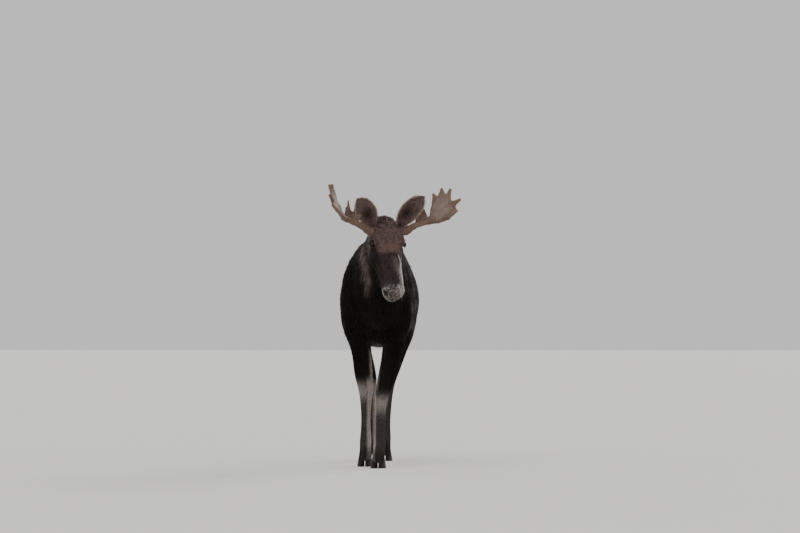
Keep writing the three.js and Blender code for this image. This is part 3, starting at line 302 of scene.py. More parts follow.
def taper(p, start, end, start_radius, end_radius):
    """A bone that tapers from one ball to another: distance to the line between them less its radius."""
    start, along = np.asarray(start, float), np.subtract(end, start).astype(float)
    h = np.clip((p - start) @ along / (along @ along), 0, 1)
    return np.linalg.norm(p - start - h[:, None] * along, axis=1) - mix(start_radius, end_radius, h)


def boxed(p, rows, field, reach=130.0):
    """A field worked out only near the box that holds its rows, and a large number elsewhere."""
    rows = np.asarray(rows, float)
    margin = reach + rows[:, 3:].max()
    near = ((p > rows[:, :3].min(0) - margin) & (p < rows[:, :3].max(0) + margin)).all(1)
    values = np.full(len(p), 1e4)
    if near.any():
        values[near] = field(p[near])
    return values


FACE_AXIS = np.array([math.sin(HEAD_YAW) * math.cos(HEAD_PITCH), -math.cos(HEAD_YAW) * math.cos(HEAD_PITCH),
                      -math.sin(HEAD_PITCH)])
LEFT_AXIS = np.array([math.cos(HEAD_YAW), math.sin(HEAD_YAW), 0])
CROWN_AXIS = np.cross(FACE_AXIS, LEFT_AXIS)
HEAD_AXES = np.stack([FACE_AXIS, LEFT_AXIS, CROWN_AXIS])


def to_head(p):
    """Points in the head's frame: along the face, to the left, above the face's axis."""
    return (p - POLL) @ HEAD_AXES.T


def from_head(q):
    """Points from the head's frame in the body's."""
    return POLL + np.asarray(q, float) @ HEAD_AXES


def lids(u, v, w):
    """How far a point lies outside the lids: a flattened ring round the eyeball, open sideways and ahead."""
    long, short, thick, slant = 24.0, 15.0, 7.0, math.radians(20)
    across = math.cos(slant) * (u - EYE[0]) - math.sin(slant) * (w - EYE[2])
    upward = math.sin(slant) * (u - EYE[0]) + math.cos(slant) * (w - EYE[2])
    around = np.maximum(1e-3, np.hypot(across / long, upward / short))
    steep = (upward / short / around) ** 2
    off = v - EYE[1] + 0.45 * (w - EYE[2]) + 0.2 * (u - EYE[0]) - (8 + 6 * steep)
    return np.hypot((around - 1) * long * 0.8, off) - thick


def mouth_distance(u, w):
    """Distance from the line between the lips in the side view."""
    best = np.full(len(u), np.inf)
    for (u0, w0), (u1, w1) in zip(MOUTH[:-1], MOUTH[1:]):
        du, dw = u1 - u0, w1 - w0
        h = np.clip(((u - u0) * du + (w - w0) * dw) / (du * du + dw * dw), 0, 1)
        best = np.minimum(best, np.hypot(u - u0 - h * du, w - w0 - h * dw))
    return best


def nostril_field(q):
    """How far a point of the head's frame, its sides folded together, lies outside nostril and slit."""
    return np.minimum(lump(q, *NOSTRIL), taper(q, *NOSTRIL_TAIL, 11, 5))


def bell_field(p):
    """How far a point lies outside the bell."""
    return boxed(p, BELL, lambda q: tube(q, BELL, LEFT_AXIS))


def head_field(p):
    """The head: skull, jaw, cheeks, brows and muzzle run together, with nostrils and mouth sunk in."""
    q = to_head(p)
    q[:, 1] = np.abs(q[:, 1])
    u, v, w = q.T
    f = blend(tube(q, FACE, [0, 1, 0], 2.4), tube(q, JAW, [0, 1, 0], 2.2), 36)
    f = blend(f, lump(q, [205, 76, -62], [122, 44, 84]), 40)
    f = blend(f, lump(q, [172, 94, 74], [60, 28, 20]), 30)
    f = blend(f, lump(q, [586, 54, 4], [42, 30, 44]), 26)
    f = blend(f, lump(q, [572, 0, -52], [66, 63, 40]), 24)
    f = blend(f, taper(q, [100, 76, 56], [94, 150, 76], 38, 30), 26)
    f = carve(f, nostril_field(q), 9)
    # the line of the mouth is a soft groove, deepest at the lips
    f = f + 11 * smooth(u, 425, 500) * peak(mouth_distance(u, w), 0, 6)
    # a shallow hollow runs down the cheek in front of the eye
    f = f + 7 * peak(u, 268, 50) * peak(w, 18, 24) * smooth(v, 50, 90)
    return blend(f, lids(u, v, w), 13)


def parts(p):
    """The fields of trunk, neck, head and the four legs, one column each."""
    columns = [boxed(p, TRUNK, lambda q: tube(q, TRUNK, [1, 0, 0])),
               boxed(p, NECK, lambda q: tube(q, NECK, unit(np.array([1, 0.12, 0])))),
               boxed(p, [[*from_head([60, 0, 0]), 300], [*from_head([560, 0, 0]), 300]], head_field)]
    for rows in LEGS.values():
        columns.append(boxed(p, rows, lambda q, rows=rows: tube(q, rows, [1, 0, 0])))
    return np.stack(columns, 1)


def flesh(p, fields):
    """The whole animal's flesh as one field."""
    columns = fields.T
    f = blend(columns[0], columns[1], 140)
    for centre, radii, tilt in MUSCLES:
        for side in (1, -1):
            middle = [side * centre[0], *centre[1:]]
            f = blend(f, boxed(p, [[*middle, *radii]], lambda q: lump(q, middle, radii, tilt)), 110)
    for leg in columns[3:]:
        f = blend(f, leg, 70)
    f = blend(f, columns[2], 60)
    f = blend(f, bell_field(p), 30)
    return blend(f, boxed(p, TAIL, lambda q: tube(q, TAIL, [1, 0, 0])), 24)


def inset(p, fields):
    """How deep the skin lies under the coat's tips: 3 mm on head and lower legs, and 12 mm on the rest."""
    head = smooth(fields[:, 2], 60, 0)
    leg = smooth(p[:, 2], 900, 700)
    return 12 - 9 * np.maximum(head, leg)


def skin_field(p):
    """The flesh's field, lowered by the coat's depth."""
    fields = parts(p)
    return flesh(p, fields) + inset(p, fields)


def slope_of(field, p, h=1.0):
    """The field's value and its gradient, by forward differences."""
    value = field(p)
    return value, np.stack([(field(p + h * np.eye(3)[k]) - value) / h for k in range(3)], 1)


def wrap(field, xs, ys, zs, block=6, reach=100.0):
    """A closed net of quads round a field: one point in each cell that the surface crosses, at the mean of
    the cell's crossings, then moved onto the surface in two steps of value over slope. Blocks of cells far
    from the surface keep their middle's value."""
    axes = [np.asarray(a, float) for a in (xs, ys, zs)]
    counts = [len(a) for a in axes]
    middles = [a[np.minimum(np.arange(0, n, block) + block // 2, n - 1)] for a, n in zip(axes, counts)]
    rough = field(np.stack(np.meshgrid(*middles, indexing="ij"), -1).reshape(-1, 3))
    values = rough.reshape([len(m) for m in middles])
    for axis in range(3):
        values = np.repeat(values, block, axis)
    values = values[:counts[0], :counts[1], :counts[2]].copy()
    near = np.abs(values) < reach
    i, j, k = np.nonzero(near)
    values[near] = field(np.stack([axes[0][i], axes[1][j], axes[2][k]], 1))
    for edge in (0, -1):
        values[edge], values[:, edge], values[:, :, edge] = 1.0, 1.0, 1.0
    stride = np.array([counts[1] * counts[2], counts[2], 1])
    rings, places = [], []
    for axis in range(3):
        a = np.moveaxis(np.moveaxis(values, axis, 0)[:-1], 0, axis)
        b = np.moveaxis(np.moveaxis(values, axis, 0)[1:], 0, axis)
        at = np.argwhere((a < 0) != (b < 0))
        va, vb = a[tuple(at.T)], b[tuple(at.T)]
        spot = np.stack([axes[n][at[:, n]] for n in range(3)], 1)
        step = axes[axis][at[:, axis] + 1] - axes[axis][at[:, axis]]
        spot[:, axis] += step * va / (va - vb)
        base = at @ stride
        u, v = stride[(axis + 1) % 3], stride[(axis + 2) % 3]
        ring = np.stack([base - u - v, base - v, base, base - u], 1)
        rings.append(np.where((vb < 0)[:, None], ring[:, ::-1], ring))
        places.append(np.repeat(spot, 4, 0))
    rings, places = np.concatenate(rings), np.concatenate(places)
    _, index = np.unique(rings.ravel(), return_inverse=True)
    index = index.ravel()
    count = np.bincount(index)
    spots = np.stack([np.bincount(index, places[:, n]) / count for n in range(3)], 1)
    for _ in range(2):
        value, slope = slope_of(field, spots)
        square = np.maximum((slope ** 2).sum(1), 0.05)
        move = np.clip(value / square, -4, 4) * (np.abs(value) < 12)
        spots = spots - slope * move[:, None]
    return spots, index.reshape(-1, 4)


def place(p):
    """Body axes in millimetres as the model's own axes in metres."""
    return (p + CENTRE) / 1000


ACROSS, FINE, COARSE = 6.0, 5.0, 10.0  # the net's cells in mm: fine round the head, coarse along the body
skin_points, skin_faces = wrap(
    skin_field,
    np.arange(-342, 343, ACROSS),
    np.concatenate([np.arange(-1352, -960, FINE), np.arange(-960, 862, COARSE)]),
    np.concatenate([np.arange(50, 1250, COARSE), np.arange(1250, 1990, FINE)]))
skin_parts = parts(skin_points)

# The coat's colours, from the body and the head down to the legs.
COAT_DARK = "#14100e"
COAT_GRIZZLE = "#2c2420"
NECK_BROWN = "#73635c"
FOREHEAD = "#78645f"
RUFOUS = "#8a675f"
BRIDGE = "#463a37"
BRIDGE_BROWN = "#7d6a62"
# dark streaks in the head's coat, and painted shade on the face's sides, under the jaw, in the eye's hollow
# and in the chin's crease
COAT_STREAK_AND_PAINTED_SHADE = "#1f1815"
LID_BLACK = "#0a0807"
NOSE_GREY = "#58585a"
NOSE_PINK = "#a58a8c"
# dark nostril rims, and painted shade deep inside the nostrils
NOSTRIL_RIM_AND_SHADE = "#090707"
# painted shade in the line between the lips
MOUTH_LINE_SHADE = "#0c0908"
# pale hairs on the muzzle and chin, and the painted highlight strip down the nose bridge
PALE_HAIR_AND_HIGHLIGHT = "#e4dad4"
LEG_GREY = "#534d49"
# pale lower legs, and painted rim light along the inner edges of the forelegs
LEG_PALE_AND_PAINTED_RIM_LIGHT = "#bfb3aa"


def paint(base, code, amount):
    """Lays a colour over rows of colours by a share from 0 to 1."""
    return mix(base, np.array(linear(code)[:3]), np.clip(amount, 0, 1)[:, None])


def plain(code, count):
    """Rows of one colour."""
    return np.tile(np.array(linear(code)[:3]), (count, 1))


def knee_top(p):
    """The height in mm at which each leg turns from the body's dark to the lower leg's grey."""
    return np.where(p[:, 1] > 0, 650, np.where(p[:, 0] > FORE_MIDDLE, 588, 684))


def shares(p, fields):
    """How far each point belongs to the head, to a leg, and to a leg's lower part, from 0 to 1."""
    trunk, neck, skull = fields[:, :3].T
    head = smooth(skull - np.minimum(trunk, neck), 40, -20) * smooth(skull, 90, 40)
    leg = smooth(np.minimum.reduce(fields[:, 3:].T), 40, 5) * smooth(p[:, 2], 1060, 900)
    return head, leg, leg * smooth(p[:, 2] - knee_top(p), 50, -40)


def nostril_share(p):
    """How deep a point lies in a nostril, from 0 to 1."""
    q = to_head(p)
    q[:, 1] = np.abs(q[:, 1])
    return smooth(nostril_field(q), 6, -1)


def eye_distance(q):
    """Distance in the head's frame from the middle of the nearer eyeball."""
    return np.hypot(np.hypot(q[:, 0] - EYE[0], np.abs(q[:, 1]) - EYE[1]), q[:, 2] - EYE[2])


def blotches(p, size):
    """Soft patches about `size` mm across, from -1 to 1: the product of two waves that bend each other."""
    x, y, z = (p * 2 * np.pi / size).T
    return np.sin(x + 1.9 * np.sin(0.6 * z)) * np.sin(0.8 * z + 1.4 * np.sin(0.7 * y + 0.5 * x))


def pale_share(p, fields):
    """How thickly pale hairs stand among the dark, from 0 to 1: the most that any of seven patches gives. The
    strip down the left side of the nose bridge is a painted highlight.
    """
    q = to_head(p)
    u, v, w = q.T
    head, _, _ = shares(p, fields)
    from_lips = mouth_distance(u, w)
    specks = smooth(blotches(q, 21) + 0.6 * blotches(q + 50, 13), 0.05, 0.45)
    outer = 0.6 + 0.4 * smooth(np.abs(v), 20, 50)
    end = smooth(u + 0.1 * np.abs(v), 556, 582) * (0.06 + 0.94 * specks) * outer
    spot = peak(u, 572, 13) * peak(v, 29, 14) * smooth(w, 0, 20)
    above = smooth(w + 0.7 * np.clip(u - 500, 0, 200), 4, 26)
    left_side = smooth(v, 48, 66) * smooth(u, 450, 500) * (0.4 + 0.6 * specks) * above
    right_edge = smooth(-v, 66, 84) * smooth(u, 556, 580) * (0.5 + 0.5 * specks)
    lips = peak(from_lips, 17, 7) * smooth(u, 560, 600)
    chin = smooth(u, 572, 596) * smooth(np.abs(v), 30, 12) * smooth(w, -84, -94)
    # painted highlight: a narrow strip down the left side of the nose bridge, on its upper side
    middle = 60 + 18 * smooth(u, 295, 375) - 10 * smooth(u, 400, 460)
    painted_highlight_strip = peak(v, middle, 6 + 18 * smooth(u, 330, 440)) * smooth(u, 290, 325) * above
    painted_highlight_strip = painted_highlight_strip * (1 - 0.45 * smooth(u, 440, 500) * (1 - specks))
    pale = np.maximum.reduce([0.8 * end, spot, 0.9 * left_side, 0.85 * right_edge, lips, chin, painted_highlight_strip])
    return head * pale * (1 - nostril_share(p)) * smooth(from_lips, 2, 5)


def markings(p, fields):
    """The coat's colour at any point: layers laid one over another, each by its own share from 0 to 1."""
    q = to_head(p)
    u, v, w = q.T
    x, y, z = p.T
    head, leg, low = shares(p, fields)
    from_lips, from_eye = mouth_distance(u, w), eye_distance(q)
    mottle = blotches(q, 47)
    streaks = blotches(q * [0.3, 1, 0.6], 41) + 0.8 * blotches(q * [0.4, 0.8, 1] + 30, 24)
    bridge_streaks = blotches(q * [0.3, 1, 0.6], 31)
    # a band down the neck beside the right cheek
    band = peak(x + 62 - 0.04 * (1700 - z), 0, 34) * smooth(z, 1330, 1460) * smooth(y, -760, -860)
    # the legs' inner sides, the fronts of the knees, and a painted rim light along the inner edge of each
    # foreleg above them
    inside = smooth(np.abs(x - np.where(y < 0, -22, HIND_MIDDLE)),
                    np.where(x > -22, 44, 60), np.where(x > -22, 28, 36))
    front = smooth(np.where(x > FORE_MIDDLE, -655, -450) - y, -30, 15)
    knee = peak(z, knee_top(p) - 95, 62) * (y < 0) * front
    rising = z - 690
    right_edge = (x + 96 + 0.14 * rising) / (60 + 0.1 * rising)
    left_edge = (90 + 0.16 * rising - x) / (62 + 0.09 * rising)
    edge = np.where(x < 0, smooth(right_edge, 0.66, 0.9), 0.5 * smooth(left_edge, 0.66, 0.9)) * (y < 0)
    layers = [
        # the dark body is grizzled on the hump and under the belly
        (COAT_GRIZZLE, 0.7 * smooth(z, 1450, 1760) * smooth(y, -1000, -300)),
        (COAT_GRIZZLE, 0.6 * smooth(z, 1080, 960) * smooth(np.abs(x), 160, 60)),
        (NECK_BROWN, 0.9 * band * (1 - head)),
        # the head, from the crown down to the lips
        (FOREHEAD, head),
        (RUFOUS, 0.4 * head * smooth(mottle, 0, 0.8) * smooth(u, 260, 200)),
        (BRIDGE, 0.5 * head * smooth(-mottle, 0, 0.9) * smooth(u, 230, 180)),
        (COAT_STREAK_AND_PAINTED_SHADE, 0.45 * head * smooth(streaks, 0.2, 1.3)),
        (COAT_DARK, 0.65 * head * smooth(u, 60, 10)),
        (RUFOUS, 0.7 * head * peak(u, 254, 28) * peak(v, 6, 62) * smooth(w, 20, 70)),
        (BRIDGE, head * smooth(u + 12 * mottle, 268, 308)),
        (COAT_STREAK_AND_PAINTED_SHADE, 0.45 * head * smooth(u, 280, 330) * smooth(-bridge_streaks, 0, 0.8)),
        # painted shade: the sides of the face and the underside of the jaw, turned from the light, are
        # darkened
        (COAT_STREAK_AND_PAINTED_SHADE, 0.85 * head * smooth(np.abs(v), 62, 92) * smooth(u, 150, 240) * smooth(w, 70, 30)),
        (COAT_STREAK_AND_PAINTED_SHADE, 0.9 * head * smooth(w, -20, -70) * smooth(u, 560, 480)),
        (BRIDGE_BROWN, 0.75 * head * peak(v, 32, 24) * smooth(u, 300, 350) * smooth(u, 480, 430)
         * smooth(w, 20, 50)),
        (NOSE_GREY, 0.7 * head * peak(u, 556, 22) * peak(v, -52, 34)),
        (NOSE_PINK, 0.6 * head * peak(u, 606, 18) * peak(v, 26, 30)),
        # painted shade darkens the hollow round the eye, and a paler ring of fur goes round the lids
        (COAT_STREAK_AND_PAINTED_SHADE, 0.9 * head * peak(u, EYE[0] + 6, 50) * peak(w, EYE[2] - 6, 38) * smooth(np.abs(v), 84, 104)),
        (FOREHEAD, 0.8 * head * peak(from_eye, 34, 6)),
        (LID_BLACK, head * smooth(from_eye, 29, 25)),
        # pale hairs on the muzzle; painted shade in the chin's crease and in the line of the mouth, and dark
        # nostril rims with painted shade inside the nostrils
        (PALE_HAIR_AND_HIGHLIGHT, 0.5 * pale_share(p, fields)),
        (COAT_STREAK_AND_PAINTED_SHADE, 0.7 * head * peak(from_lips, 32, 4) * peak(v, 0, 40) * smooth(u, 570, 600)),
        (NOSTRIL_RIM_AND_SHADE, head * nostril_share(p)),
        (MOUTH_LINE_SHADE, head * smooth(from_lips, 5, 2) * smooth(u, 430, 470)),
        # legs grow pale below knee and hock, and a narrow line of painted rim light climbs the inner edge of
        # each foreleg as far as the elbow
        (LEG_GREY, low * 0.9),
        (LEG_PALE_AND_PAINTED_RIM_LIGHT, low * np.maximum(0.97 * inside, 0.7 * knee)),
        (LEG_PALE_AND_PAINTED_RIM_LIGHT, 0.75 * leg * edge * smooth(z, 560, 640) * smooth(z, 960, 860)),
        (COAT_GRIZZLE, smooth(z, 190, 90) * leg * 0.7),
    ]
    colour = plain(COAT_DARK, len(p))
    for code, amount in layers:
        colour = paint(colour, code, amount)
    return colour


def set_colour(made, colour):
    """Stores one colour a point as the attribute that the coat's materials read."""
    layer = made.data.color_attributes.new("marking", "FLOAT_COLOR", "POINT")
    layer.data.foreach_set("color", np.hstack([colour, np.ones((len(colour), 1))]).astype(np.float32).ravel())


# Hide seen between the hairs: dull, with streaks of about 4 mm from the short hair that lies on it, and with
# clouds of about 45 mm.
hide, tree, output = new_material("short moose hair on hide")
coordinates = node(tree, "ShaderNodeTexCoord")
stretch = node(tree, "ShaderNodeMapping", {"Scale": (1, 1, 0.3)}, {"Vector": (coordinates, "Object")})
streak = node(tree, "ShaderNodeTexNoise", {"Scale": 260.0, "Detail": 3.0}, {"Vector": (stretch, 0)})
patch = node(tree, "ShaderNodeTexNoise", {"Scale": 22.0, "Detail": 3.0}, {"Vector": (coordinates, "Object")})
mark = node(tree, "ShaderNodeAttribute", {"attribute_name": "marking"})
depth = node(tree, "ShaderNodeMapRange", {"From Min": 0.3, "From Max": 0.7, "To Min": 0.5, "To Max": 1.2},
             {"Value": (streak, 0)})
cloud = node(tree, "ShaderNodeMapRange", {"From Min": 0.3, "From Max": 0.7, "To Min": 0.8, "To Max": 1.2},
             {"Value": (patch, 0)})
both = node(tree, "ShaderNodeMath", {"operation": "MULTIPLY"}, {0: (depth, 0), 1: (cloud, 0)})
tint = node(tree, "ShaderNodeVectorMath", {"operation": "SCALE"}, {0: (mark, "Color"), "Scale": (both, 0)})
bump = node(tree, "ShaderNodeBump", {"Strength": 0.5, "Distance": 0.002}, {"Height": (streak, 0)})
shader = node(tree, "ShaderNodeBsdfPrincipled",
              {"Roughness": 0.8, "Specular IOR Level": 0.15},
              {"Base Color": (tint, 0), "Normal": (bump, 0)})
tree.links.new(shader.outputs[0], output.inputs[0])

skin = new_object("skin", place(skin_points), skin_faces, hide)
set_colour(skin, 0.6 * markings(skin_points, skin_parts))
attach(skin, "root")
leg_nodes = [f"{leg}_{part}_leg" for leg in LEGS for part in ("upper", "lower")]
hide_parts("head", "lower_jaw", "neck", "torso", "bell", "tail", *leg_nodes)


# ---------------------------------------------------------------- coat
# Moose hair is coarse, hollow and a little glossy. It lies in overlapping tufts from nose to tail and down
# the legs: bristle-short on the muzzle, finger-long on the flanks, longest on crest, hump, throat and bell.

rng = np.random.default_rng(11)


def normals_of(points, faces):
    """Unit normals at the points of a mesh of quads, the sum of the crossed diagonals round each point, and
    the quads' areas."""
    a, b, c, d = (points[faces[:, k]] for k in range(4))
    facing = np.cross(c - a, d - b)
    total = np.stack([np.bincount(faces.ravel(), np.repeat(facing[:, k], 4), len(points))
                      for k in range(3)], 1)
    return unit(total), np.linalg.norm(facing, axis=1) / 2


def lie_of(p, fields, out):
    """Which way the hair points, along the skin: back over the trunk, down chest and legs, from nose to poll.
    Each part of the body turns the way by its own share, and slow waves swirl it."""
    head, _, _ = shares(p, fields)
    _, v, w = to_head(p).T
    flank = smooth(np.abs(p[:, 0]), 40, 220)
    neck = smooth(fields[:, 1] - fields[:, 0], 60, -60)
    chest = smooth(-out[:, 1], 0.15, 0.6) * smooth(p[:, 1], -250, -420)
    limb = smooth(p[:, 2], 1120, 940) * smooth(-out[:, 2], 0.8, 0.5)
    cheek = smooth(w, 40, -60)
    face = -FACE_AXIS - 0.5 * cheek[:, None] * CROWN_AXIS + 0.25 * np.clip(v / 60, -1, 1)[:, None] * LEFT_AXIS
    way = np.stack([0 * flank, 1 + 0 * flank, -0.15 - 0.4 * flank], 1)
    for towards, share in [(np.array([-0.1, 0.8, -0.65]), neck), (np.array([0, 0.1, -1]), chest),
                           (np.array([0, 0.12, -1]), limb), (face, head),
                           (np.array([0, 0, -1.0]), smooth(bell_field(p), 30, 5))]:
        way = mix(way, towards, share[:, None])
    x, y, z = (p / 1000).T
    swirl = 0.22 * np.sin(31 * y + 17 * z + 2) + 0.16 * np.sin(43 * z - 29 * x)
    way = unit(way - (way * out).sum(1)[:, None] * out)
    return unit(way + swirl[:, None] * np.cross(out, way))


def coat_sizes(p, fields, out):
    """Length, width and rise of the tufts in mm."""
    head, leg, low = shares(p, fields)
    u, _, w = to_head(p).T
    _, y, z = p.T
    length = 46 + 34 * smooth(z, 1560, 1700) * smooth(y, 150, -250) + 14 * smooth(y, -500, -700)
    length = length + 22 * smooth(-out[:, 1], 0.3, 0.8) * smooth(y, -300, -500)
    length = mix(mix(length, 30, leg), 15, low)
    face = 8 + 12 * smooth(u, 330, 60) + 9 * smooth(w, -20, -90) - 3.5 * smooth(u, 480, 570)
    length = mix(length, face, head)
    length = mix(length, 78, smooth(bell_field(p), 30, 5))
    length = length + 12 * smooth(z, 92, 66) * leg  # the fringe over the hooves
    width = np.clip(0.14 * length, 2.8 + 0.5 * low, 8.5)
    rise = length * (0.24 - 0.08 * head - 0.06 * low)
    return length, width, rise


def sample(points, faces, tufts_per_mm2):
    """Random places on a mesh of quads, as many in each quad as its area asks for. Gives the places, their
    normals and a function that mixes values at the quads' corners, bilinearly, for every place."""
    out, area = normals_of(points, faces)
    wanted = area * tufts_per_mm2(points[faces].mean(1), out[faces].mean(1))
    count = np.floor(wanted + rng.random(len(faces))).astype(int)
    quad = faces[np.repeat(np.arange(len(faces)), count)]
    s, t = rng.random((2, len(quad), 1))
    mixed = [(1 - s) * (1 - t), s * (1 - t), s * t, (1 - s) * t]

    def at(values):
        return sum(m * values[quad[:, k]] for k, m in enumerate(mixed))

    return at(points), unit(at(out)), at


def tuft_mesh(root, out, lie, length, width, rise, bend, colour, unwrap, rings, above=None):
    """Tufts as one mesh. Each has triangular rings on a spine that leaves the root along the lie, bends aside
    by its length times bend times the square of the share, rises out of the skin and ends in a point. A ring
    is given as its share of the length, its breadth, its rise and its lightness. `above` measures the rise
    from the skin under the spine."""
    count, last = len(root), len(rings)
    side = np.cross(out, lie)
    points, colours, offsets = [], [], []
    for share, breadth, lifted, light in rings + [(1.0, 0.0, 1.0, rings[-1][3] + 0.15)]:
        spine = root + lie * (length * share)[:, None] + side * (length * bend * share ** 2)[:, None]
        height = rise * lifted - (above(spine) if above is not None and share > 0 else 0)
        spine = spine + out * np.clip(height, -25, 45)[:, None]
        half, thick = width[:, None] * breadth / 2, width[:, None] * breadth * 0.4
        ring = [spine + side * half, spine - side * half, spine + out * thick] if breadth else [spine]
        points += ring
        colours += [colour * light] * len(ring)
        offsets += [(share, k / 2) for k in range(len(ring))]
    per = len(points)
    points = np.stack(points, 1).reshape(-1, 3)
    colours = np.stack(colours, 1).reshape(-1, 3)
    pattern = [[0, 1, 2]]
    for ring in range(last - 1):
        for a, b in ((0, 1), (1, 2), (2, 0)):
            p0, q0, p1, q1 = 3 * ring + a, 3 * ring + b, 3 * ring + 3 + a, 3 * ring + 3 + b
            pattern += [[q0, p0, p1], [q0, p1, q1]]
    tip = per - 1
    pattern += [[tip - 3 + b, tip - 3 + a, tip] for a, b in ((0, 1), (1, 2), (2, 0))]
    faces = (np.array(pattern)[None] + per * np.arange(count)[:, None, None]).reshape(-1, 3)
    patch = 0.003  # how wide a tuft's own patch is on the map
    uv = (unwrap * (1 - patch))[:, None, :] + patch * np.array(offsets)[None]
    return points, faces, colours, uv.reshape(-1, 2)


def coat_piece(name, mesh, material):
    """A coat piece from a tuft mesh, with its marking colours and its OFBake map."""
    points, faces, colours, uv = mesh
    made = new_object(name, place(points), faces, material)
    set_colour(made, colours)
    layer = made.data.uv_layers.new(name="OFBake")
    layer.data.foreach_set("uv", uv[faces.ravel()].astype(np.float32).ravel())
    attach(made, "root")
    return made


# Hair: a little gloss along it, and streaks of about 2.4 mm where single hairs show in a tuft. They are drawn
# that coarse because real hairs, 0.3 mm thick, are too fine to show.
hair, tree, output = new_material("coarse moose guard hair")
coordinates = node(tree, "ShaderNodeTexCoord")
streak = node(tree, "ShaderNodeTexNoise",
              {"Scale": 420.0, "Detail": 2.0},
              {"Vector": (coordinates, "Object")})
mark = node(tree, "ShaderNodeAttribute", {"attribute_name": "marking"})
depth = node(tree, "ShaderNodeMapRange", {"From Min": 0.3, "From Max": 0.7, "To Min": 0.6, "To Max": 1.4},
             {"Value": (streak, 0)})
tint = node(tree, "ShaderNodeVectorMath", {"operation": "SCALE"}, {0: (mark, "Color"), "Scale": (depth, 0)})
bump = node(tree, "ShaderNodeBump", {"Strength": 0.4, "Distance": 0.001}, {"Height": (streak, 0)})
shader = node(tree, "ShaderNodeBsdfPrincipled",
              {"Roughness": 0.62, "Specular IOR Level": 0.14},
              {"Base Color": (tint, 0), "Normal": (bump, 0)})
tree.links.new(shader.outputs[0], output.inputs[0])

HEAD_PIECES = ("coat_face", "coat_bridge", "coat_muzzle")
# Rings of a short tuft and of a long lock: share, breadth, rise, light.
SHORT = [(0.0, 0.8, -0.12, 0.5), (0.5, 1.0, 0.62, 0.95)]
LONG = [(0.0, 0.8, -0.12, 0.45), (0.35, 1.0, 0.5, 0.8), (0.7, 0.7, 0.9, 1.05)]
COVER = 2.9  # how many tufts deep the coat lies


def height_over_skin(p):
    """How high a point lies over the skin, in mm, held between -40 and 40."""
    return np.clip(skin_field(p), -40, 40)


def tufts_per_mm2(p, out):
    """How many tufts grow on a square millimetre: the coat's layers over a tuft's length times its width, and
    half as many again where it is long."""
    length, width, _ = coat_sizes(p, parts(p), out)
    return COVER * (1 + 0.55 * smooth(length, 24, 36)) / (length * width)


root, out, _ = sample(skin_points, skin_faces, tufts_per_mm2)
fields = parts(root)
face = to_head(root)
head, leg, _ = shares(root, fields)
# no hair in the nostrils, on the eyeballs, between the lips or on the hooves
clear = nostril_share(root) < 0.3
clear &= ~((head > 0.5) & (eye_distance(face) < EYE_RADIUS + 6))
clear &= ~((head > 0.5) & (mouth_distance(face[:, 0], face[:, 2]) < 3.5) & (face[:, 0] > 430))
clear &= root[:, 2] > 57
root, out, fields, head, leg = (a[clear] for a in (root, out, fields, head, leg))
lie = lie_of(root, fields, out)
length, width, rise = coat_sizes(root, fields, out)
count = len(root)
length = length * rng.uniform(0.75, 1.25, count)
width = width * rng.uniform(0.8, 1.25, count)
rise = rise * rng.uniform(0.55, 1.35, count)
bend = rng.normal(0, 0.13, count)
colour = markings(root, fields) * rng.uniform(0.55, 1.5, count)[:, None]
# tufts in pale_share's patches turn pale, those of the painted highlight strip among them
pale = rng.random(count) < pale_share(root, fields) * 0.8
colour[pale] = np.array(linear(PALE_HAIR_AND_HIGHLIGHT)[:3]) * rng.uniform(0.6, 1.15, (pale.sum(), 1))


def unwrap_round(p, middle, up, low, high):
    """An unwrap on the skin's own shape: the angle round an axis, and the share of the way along it."""
    others = [axis for axis in range(3) if axis != up]
    q = p - np.asarray(middle)
    angle = np.arctan2(q[:, others[0]], q[:, others[1]]) / (2 * np.pi) + 0.5
    return np.clip(np.stack([angle, (p[:, up] - low) / (high - low)], 1), 0, 1)


# The coat's pieces: trunk and neck from the rear, the head from the crown, then each leg.
x, y, _ = root.T
on_head, on_leg = head > 0.5, (leg > 0.5) & (head <= 0.5)
on_trunk = ~on_head & ~on_leg
fore, hind = on_leg & (y < 0), on_leg & (y >= 0)
down_face = to_head(root)[:, 0]
regions = [
    ("coat_rump", on_trunk & (y > 260)),
    ("coat_flank", on_trunk & (y <= 260) & (y > -180)),
    ("coat_shoulder", on_trunk & (y <= -180) & (y > -560)),
    ("coat_neck", on_trunk & (y <= -560)),
    ("coat_face", on_head & (down_face < 270)),
    ("coat_bridge", on_head & (down_face >= 270) & (down_face < 440)),
    ("coat_muzzle", on_head & (down_face >= 440)),
    ("coat_fore_leg_left", fore & (x > FORE_MIDDLE)),
    ("coat_fore_leg_right", fore & (x <= FORE_MIDDLE)),
    ("coat_hind_leg_left", hind & (x > HIND_MIDDLE)),
    ("coat_hind_leg_right", hind & (x <= HIND_MIDDLE)),
]
TRUNK_WRAP = ([0, 0, 1400], 1, -1150, 900)  # round the trunk's axis, from the nose to the tail
HEAD_WRAP = ([0, 0, -20], 0, -80, 680)  # round the face's axis, from the poll to the lips
LEG_WRAP = (2, 0, 1100)  # round the leg's upright axis, from the floor to the elbow
for name, chosen in regions:
    here = root[chosen]
    if "leg" in name:
        unwrap = unwrap_round(here, [*here[:, :2].mean(0), 0], *LEG_WRAP)
    elif name in HEAD_PIECES:
        unwrap = unwrap_round(to_head(here), *HEAD_WRAP)
    else:
        unwrap = unwrap_round(here, *TRUNK_WRAP)
    follow = None if name in HEAD_PIECES else height_over_skin
    mesh = tuft_mesh(here, out[chosen], lie[chosen], length[chosen], width[chosen], rise[chosen],
                     bend[chosen], colour[chosen], unwrap, SHORT, follow)
    slot = "grey_coat" if "leg" in name else "brown_coat" if name in HEAD_PIECES else "dark_coat"
    coat_piece(name, mesh, hair)


